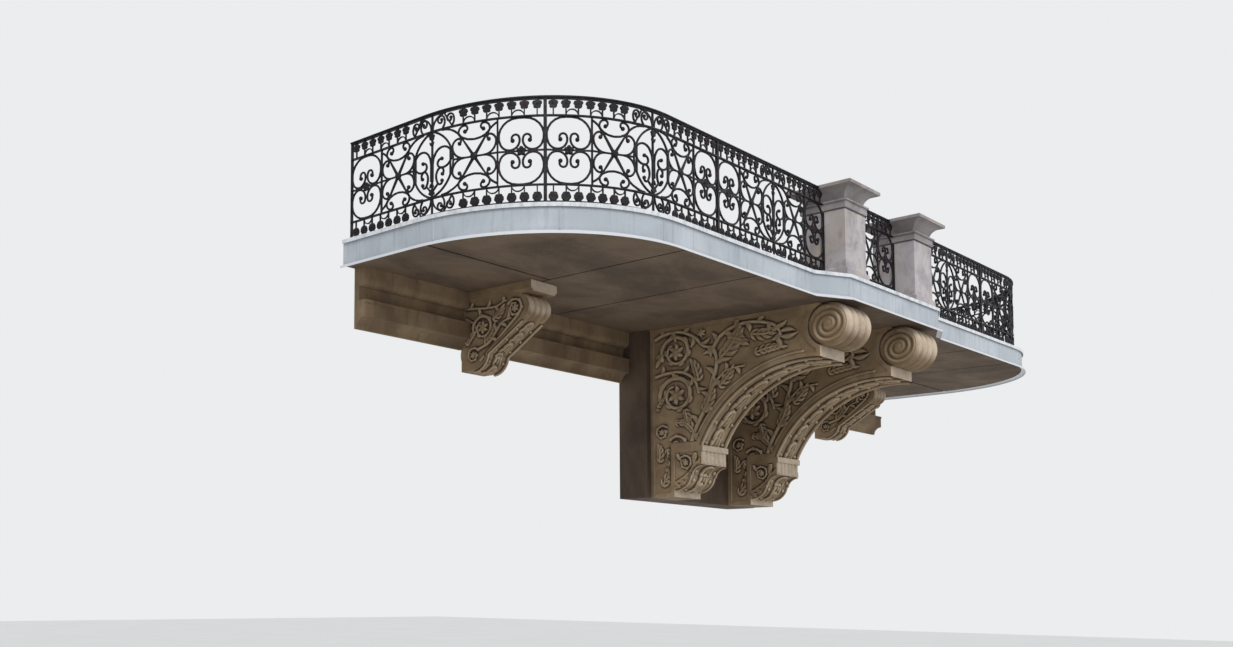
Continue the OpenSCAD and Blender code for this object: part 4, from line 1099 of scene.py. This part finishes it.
def star_scrolls(w):
    """The scrolls over, under and beside a star."""
    node_x, node_z = star_node(w)
    low = FIELD_H * 0.253
    turn = 2 * math.degrees(math.atan2(node_z - low, node_x))
    sweep = node_x / math.sin(math.radians(turn))
    side_r = w * 0.258
    upper = scroll_path(0.0, low, 0, ((sweep, turn), (w * 0.127, 150), (w * 0.064, 170)))
    outer = scroll_path(w / 2 - LEAN - side_r, 0.0, 0, ((side_r, 90), (w * 0.161, 75),
                                                         (w * 0.055, 170)))
    return four_ways(upper) + four_ways(outer)


def star_stems(w):
    """The stems that sweep from the star's arms to the corners and past them."""
    node_x, node_z = star_node(w)
    lie = math.degrees(math.atan2(node_z, node_x))
    sweep = (SEAT_Z - node_z) / (1 - math.cos(math.radians(lie)))
    return four_ways(scroll_path(node_x, node_z, lie, ((sweep, -lie),), 5))


def lancet_scrolls(w):
    coil = w * 0.445
    back = w * 0.77
    low = -FIELD_H * 0.19
    paths = [scroll_path(w - LEAN, 0.0, 90, ((w * 0.8, 40), (coil, 250), (coil * 0.42, 170))),
             scroll_path(back, low, 90, ((w * 0.43, 40), (w * 0.16, 190))),
             scroll_path(back, low, -90, ((w * 0.57, -35), (w * 0.115, -160)))]
    return moved(paths, -w / 2)


def lancet_bow(w):
    tall = FIELD_H - BAR_T
    lead = w * 0.09
    sag = w - LEAN + lead
    bow = (tall * tall / 4 + sag * sag) / (2 * sag)
    spread = math.asin(tall / 2 / bow)
    path = [(bow - lead - bow * math.cos(a), bow * math.sin(a))
            for a in np.linspace(-spread, spread, 25)]
    return moved([path], -w / 2)


def frieze_scrolls(flip):
    low = -FRIEZE_H + BAR_T / 2 + SCROLL_W / 2 - BITE
    coil = (FRIEZE_H - BAR_T) * 0.243
    steps = ((coil * 2.35, -75), (coil, -200), (coil * 0.56, -160))
    paths = [scroll_path(FRIEZE_ZONE * k, low, 135, steps) for k in (0.22, 0.58)]
    return [[(x - FRIEZE_ZONE / 2, z * flip) for x, z in path] for path in paths]


def bar_along(path, radius, around=6):
    """A round bar along a flat path: across, outward and up."""
    p = np.array(path)
    slope = np.gradient(p, axis=0)
    slope /= np.linalg.norm(slope, axis=1)[:, None]
    turns = 2 * math.pi * np.arange(around) / around
    across = p[:, :1] - slope[:, 1:] * np.cos(turns) * radius
    up = p[:, 1:] + slope[:, :1] * np.cos(turns) * radius
    out = np.broadcast_to(np.sin(turns) * radius, across.shape)
    points = np.stack([across, out, up], 2).reshape(-1, 3)
    faces = [tuple(range(around))[::-1], tuple(range(len(points) - around, len(points)))]
    for k in range(len(p) - 1):
        row = k * around
        for j in range(around):
            i = (j + 1) % around
            faces.append((row + j, row + around + j, row + around + i, row + i))
    return points, faces


def ball_parts(radius, rings=6, around=10):
    points = [(0.0, 0.0, radius)]
    for i in range(1, rings):
        a = math.pi * i / rings
        for j in range(around):
            b = 2 * math.pi * j / around
            points.append((radius * math.sin(a) * math.cos(b), radius * math.sin(a) * math.sin(b),
                           radius * math.cos(a)))
    points.append((0.0, 0.0, -radius))
    return np.array(points), rounded_faces(rings - 1, around, True)


def iron_parts(scrolls, plain, thick, ball):
    """Bars along all paths and a ball at the end of each scroll."""
    parts = [bar_along(path, thick) for path in scrolls + plain]
    points, faces = ball_parts(ball)
    return parts + [(points + np.array([path[-1][0], 0.0, path[-1][1]]), faces)
                    for path in scrolls]


def in_bay(n, u, middle, w, z, scrolls, plain, thick, ball):
    """The bars of one flat panel w wide, set in half u of bay n."""
    s = half_spot(n, u, middle)
    x, y, a = on_rail(s)
    on_arc = SIDE_LEN <= s < SIDE_LEN + ARC_LEN
    lift = END_OUT - w * w / RAIL_R / 8 if on_arc else 0.0
    out, along = axes(a)
    centre = np.array([x, y, DECK_Z + z]) + out * lift
    way = 1 if u == 0 else -1
    turned = [[[(px * way, pz) for px, pz in path] for path in paths]
              for paths in (scrolls, plain)]
    placed = []
    for points, faces in iron_parts(turned[0], turned[1], thick, ball):
        placed.append((centre - points[:, :1] * along + points[:, 1:2] * out
                       + points[:, 2:] * UP, faces))
    return placed


def bay_bars(n):
    """The forged bars of one bay; its halves hold the same panels, one the other's mirror."""
    star = RING_LEN + STAR_LEN / 2
    lancet = HALF_BAY - LANCET_LEN / 2
    frieze = HALF_BAY - FRIEZE_ZONE / 2
    stems = star_stems(STAR_LEN)
    bow = lancet_bow(LANCET_LEN) + moved(stems, -(STAR_LEN + LANCET_LEN) / 2)
    panels = [(RING_LEN / 2, RING_LEN, FIELD_Z, ring_scrolls(RING_LEN), [], FORGED_R, RING_BALL),
              (star, STAR_LEN, FIELD_Z, star_scrolls(STAR_LEN), within(stems, STAR_LEN / 2),
               FORGED_R, STAR_BALL),
              (lancet, LANCET_LEN, FIELD_Z, lancet_scrolls(LANCET_LEN),
               within(bow, LANCET_LEN / 2), FORGED_R, LANCET_BALL)]
    panels += [(frieze, FRIEZE_ZONE, z, frieze_scrolls(flip), [], FRIEZE_FORGED_R, FRIEZE_BALL)
               for flip, z in ((1, TOP_BAR_Z), (-1, BOTTOM_BAR_Z))]
    return [part for u in (0, 1) for panel in panels for part in in_bay(n, u, *panel)]


def centre_bars():
    scrolls = star_scrolls(CENTRE_STAR)
    for side in (-1, 1):
        scrolls += moved(ring_scrolls(CENTRE_RING), side * CENTRE_RING_X)
    stems = within(star_stems(CENTRE_STAR), CENTRE_STAR / 2)
    middle = np.array([0.0, -RAIL_Y, DECK_Z + FIELD_Z])
    return [(points + middle, faces)
            for points, faces in iron_parts(scrolls, stems, CENTRE_FORGED_R, CENTRE_BALL)]


# Sheet metal seams

def seam_parts(x, y, angle):
    """An upright folded seam on the fascia."""
    out, along = axes(angle)
    section = [(-0.013, 0.0), (-0.010, 0.0025), (-0.002, 0.003), (0.0, 0.006), (0.006, 0.006),
               (0.008, 0.0)]
    points = []
    top = DECK_Z - 0.034
    foot = SOFFIT_Z + 0.012
    for z in (top, foot):
        for a, o in section:
            points.append(np.array([x, y, z]) + along * a + out * o)
    n = len(section)
    faces = [(n + k, n + k + 1, k + 1, k) for k in range(n - 1)]
    return np.array(points), faces


def build_seams(material):
    """Three seams round each corner and one on each wing's straight front."""
    straight_x = 3.0
    placed = [seam_parts(FRONT_X + CORNER_R * math.cos(a), -SIDE_LEN - CORNER_R * math.sin(a), -a)
              for a in (0.12, 0.82, 1.45)]
    placed.append(seam_parts(straight_x, -WING_DEPTH, -math.pi / 2))
    for mirrored, name in SIDES:
        gather(f"fascia_seams_{name}", placed, material, mirrored)


# CAD nodes

def dress_nodes(finishes):
    for node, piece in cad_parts.items():
        for start, material in finishes:
            if node.startswith(start):
                piece.data.materials.clear()
                piece.data.materials.append(material)
                break


# Stage, camera and lamps

def build_stage():
    reach = 60.0
    floor_z = -5.3
    mesh = bpy.data.meshes.new("floor")
    mesh.from_pydata([(-reach, -reach, floor_z), (reach, -reach, floor_z),
                      (reach, reach, floor_z), (-reach, reach, floor_z)], [], [(0, 1, 2, 3)])
    mesh.materials.append(stage_floor())
    floor = add_object("floor", mesh)


def build_camera():
    # The photo is a crop whose main point lies left of and below its middle
    data = bpy.data.cameras.new("camera")
    data.lens = 36.33
    data.sensor_width = 36.0
    data.shift_x = 0.22
    data.shift_y = 0.14
    data.clip_end = 200.0
    heading = 42.796
    pitch = 4.272
    tilt = 0.575
    camera = add_object("camera", data)
    camera.location = (-13.579, -8.571, -3.186)
    aim = Euler((math.radians(90 + pitch), 0.0, math.radians(-heading)), "XYZ").to_matrix()
    roll = Euler((0.0, 0.0, math.radians(tilt)), "XYZ").to_matrix()
    camera.rotation_euler = (aim @ roll).to_euler("XYZ")
    bpy.context.scene.camera = camera


def build_world():
    world = bpy.data.worlds.new("studio")
    world.use_nodes = True
    nodes = world.node_tree.nodes
    links = world.node_tree.links
    light = nodes["Background"]
    seen = nodes.new("ShaderNodeBackground")
    for lit, colour, strength in ((light, (0.93, 0.96, 1.0, 1.0), 0.62),
                                  (seen, rgb(236, 237, 238), 1.0)):
        lit.inputs["Color"].default_value = colour
        lit.inputs["Strength"].default_value = strength
    rays = nodes.new("ShaderNodeLightPath")
    blend = nodes.new("ShaderNodeMixShader")
    links.new(rays.outputs["Is Camera Ray"], blend.inputs[0])
    links.new(light.outputs[0], blend.inputs[1])
    links.new(seen.outputs[0], blend.inputs[2])
    links.new(blend.outputs[0], nodes["World Output"].inputs["Surface"])
    bpy.context.scene.world = world


def build_lamp(name, strength, spread, direction):
    data = bpy.data.lights.new(name, "SUN")
    data.energy = strength
    data.angle = math.radians(spread)
    lamp = add_object(name, data)
    lamp.rotation_euler = Vector(direction).to_track_quat("-Z", "Y").to_euler()


def build_scene():
    iron = wrought_iron()
    sheet = painted_sheet()
    white = white_sheet()
    pier = grey_stone("pier_stone", rgb(186, 178, 178), rgb(160, 154, 158), rgb(184, 170, 152))
    cap = grey_stone("cap_stone", rgb(160, 154, 155), rgb(128, 122, 124), rgb(150, 140, 130))
    slab = slab_finish()
    plain = warm_stone("warm_stone", False)
    carved = warm_stone("carved_stone", True)
    bed = wall_stone("bed_stone", rgb(136, 114, 86), rgb(106, 87, 66))
    wall = wall_stone("wall_stone", rgb(92, 75, 59), rgb(68, 54, 43))
    dress_nodes([("rail_", iron), ("handrail_", iron), ("fascia_", sheet), ("flashing_", white),
                 ("pier_left_cap", cap), ("pier_right_cap", cap), ("pier_", pier),
                 ("console_", plain), ("bracket_", plain), ("bed_", bed), ("backing_", wall),
                 ("slab", slab)])
    build_consoles(carved)
    build_brackets(carved)
    build_along_rail("rosettes", bay_ornaments, centre_ornaments, iron)
    build_along_rail("scroll_bars", bay_bars, centre_bars, iron)
    build_seams(sheet)
    build_stage()
    build_camera()
    build_world()
    build_lamp("key", 1.6, 35.0, (0.55, 0.70, -0.75))
    build_lamp("fill", 0.5, 60.0, (-0.7, 0.6, -0.3))
    bpy.context.scene.view_settings.view_transform = "Standard"


build_scene()
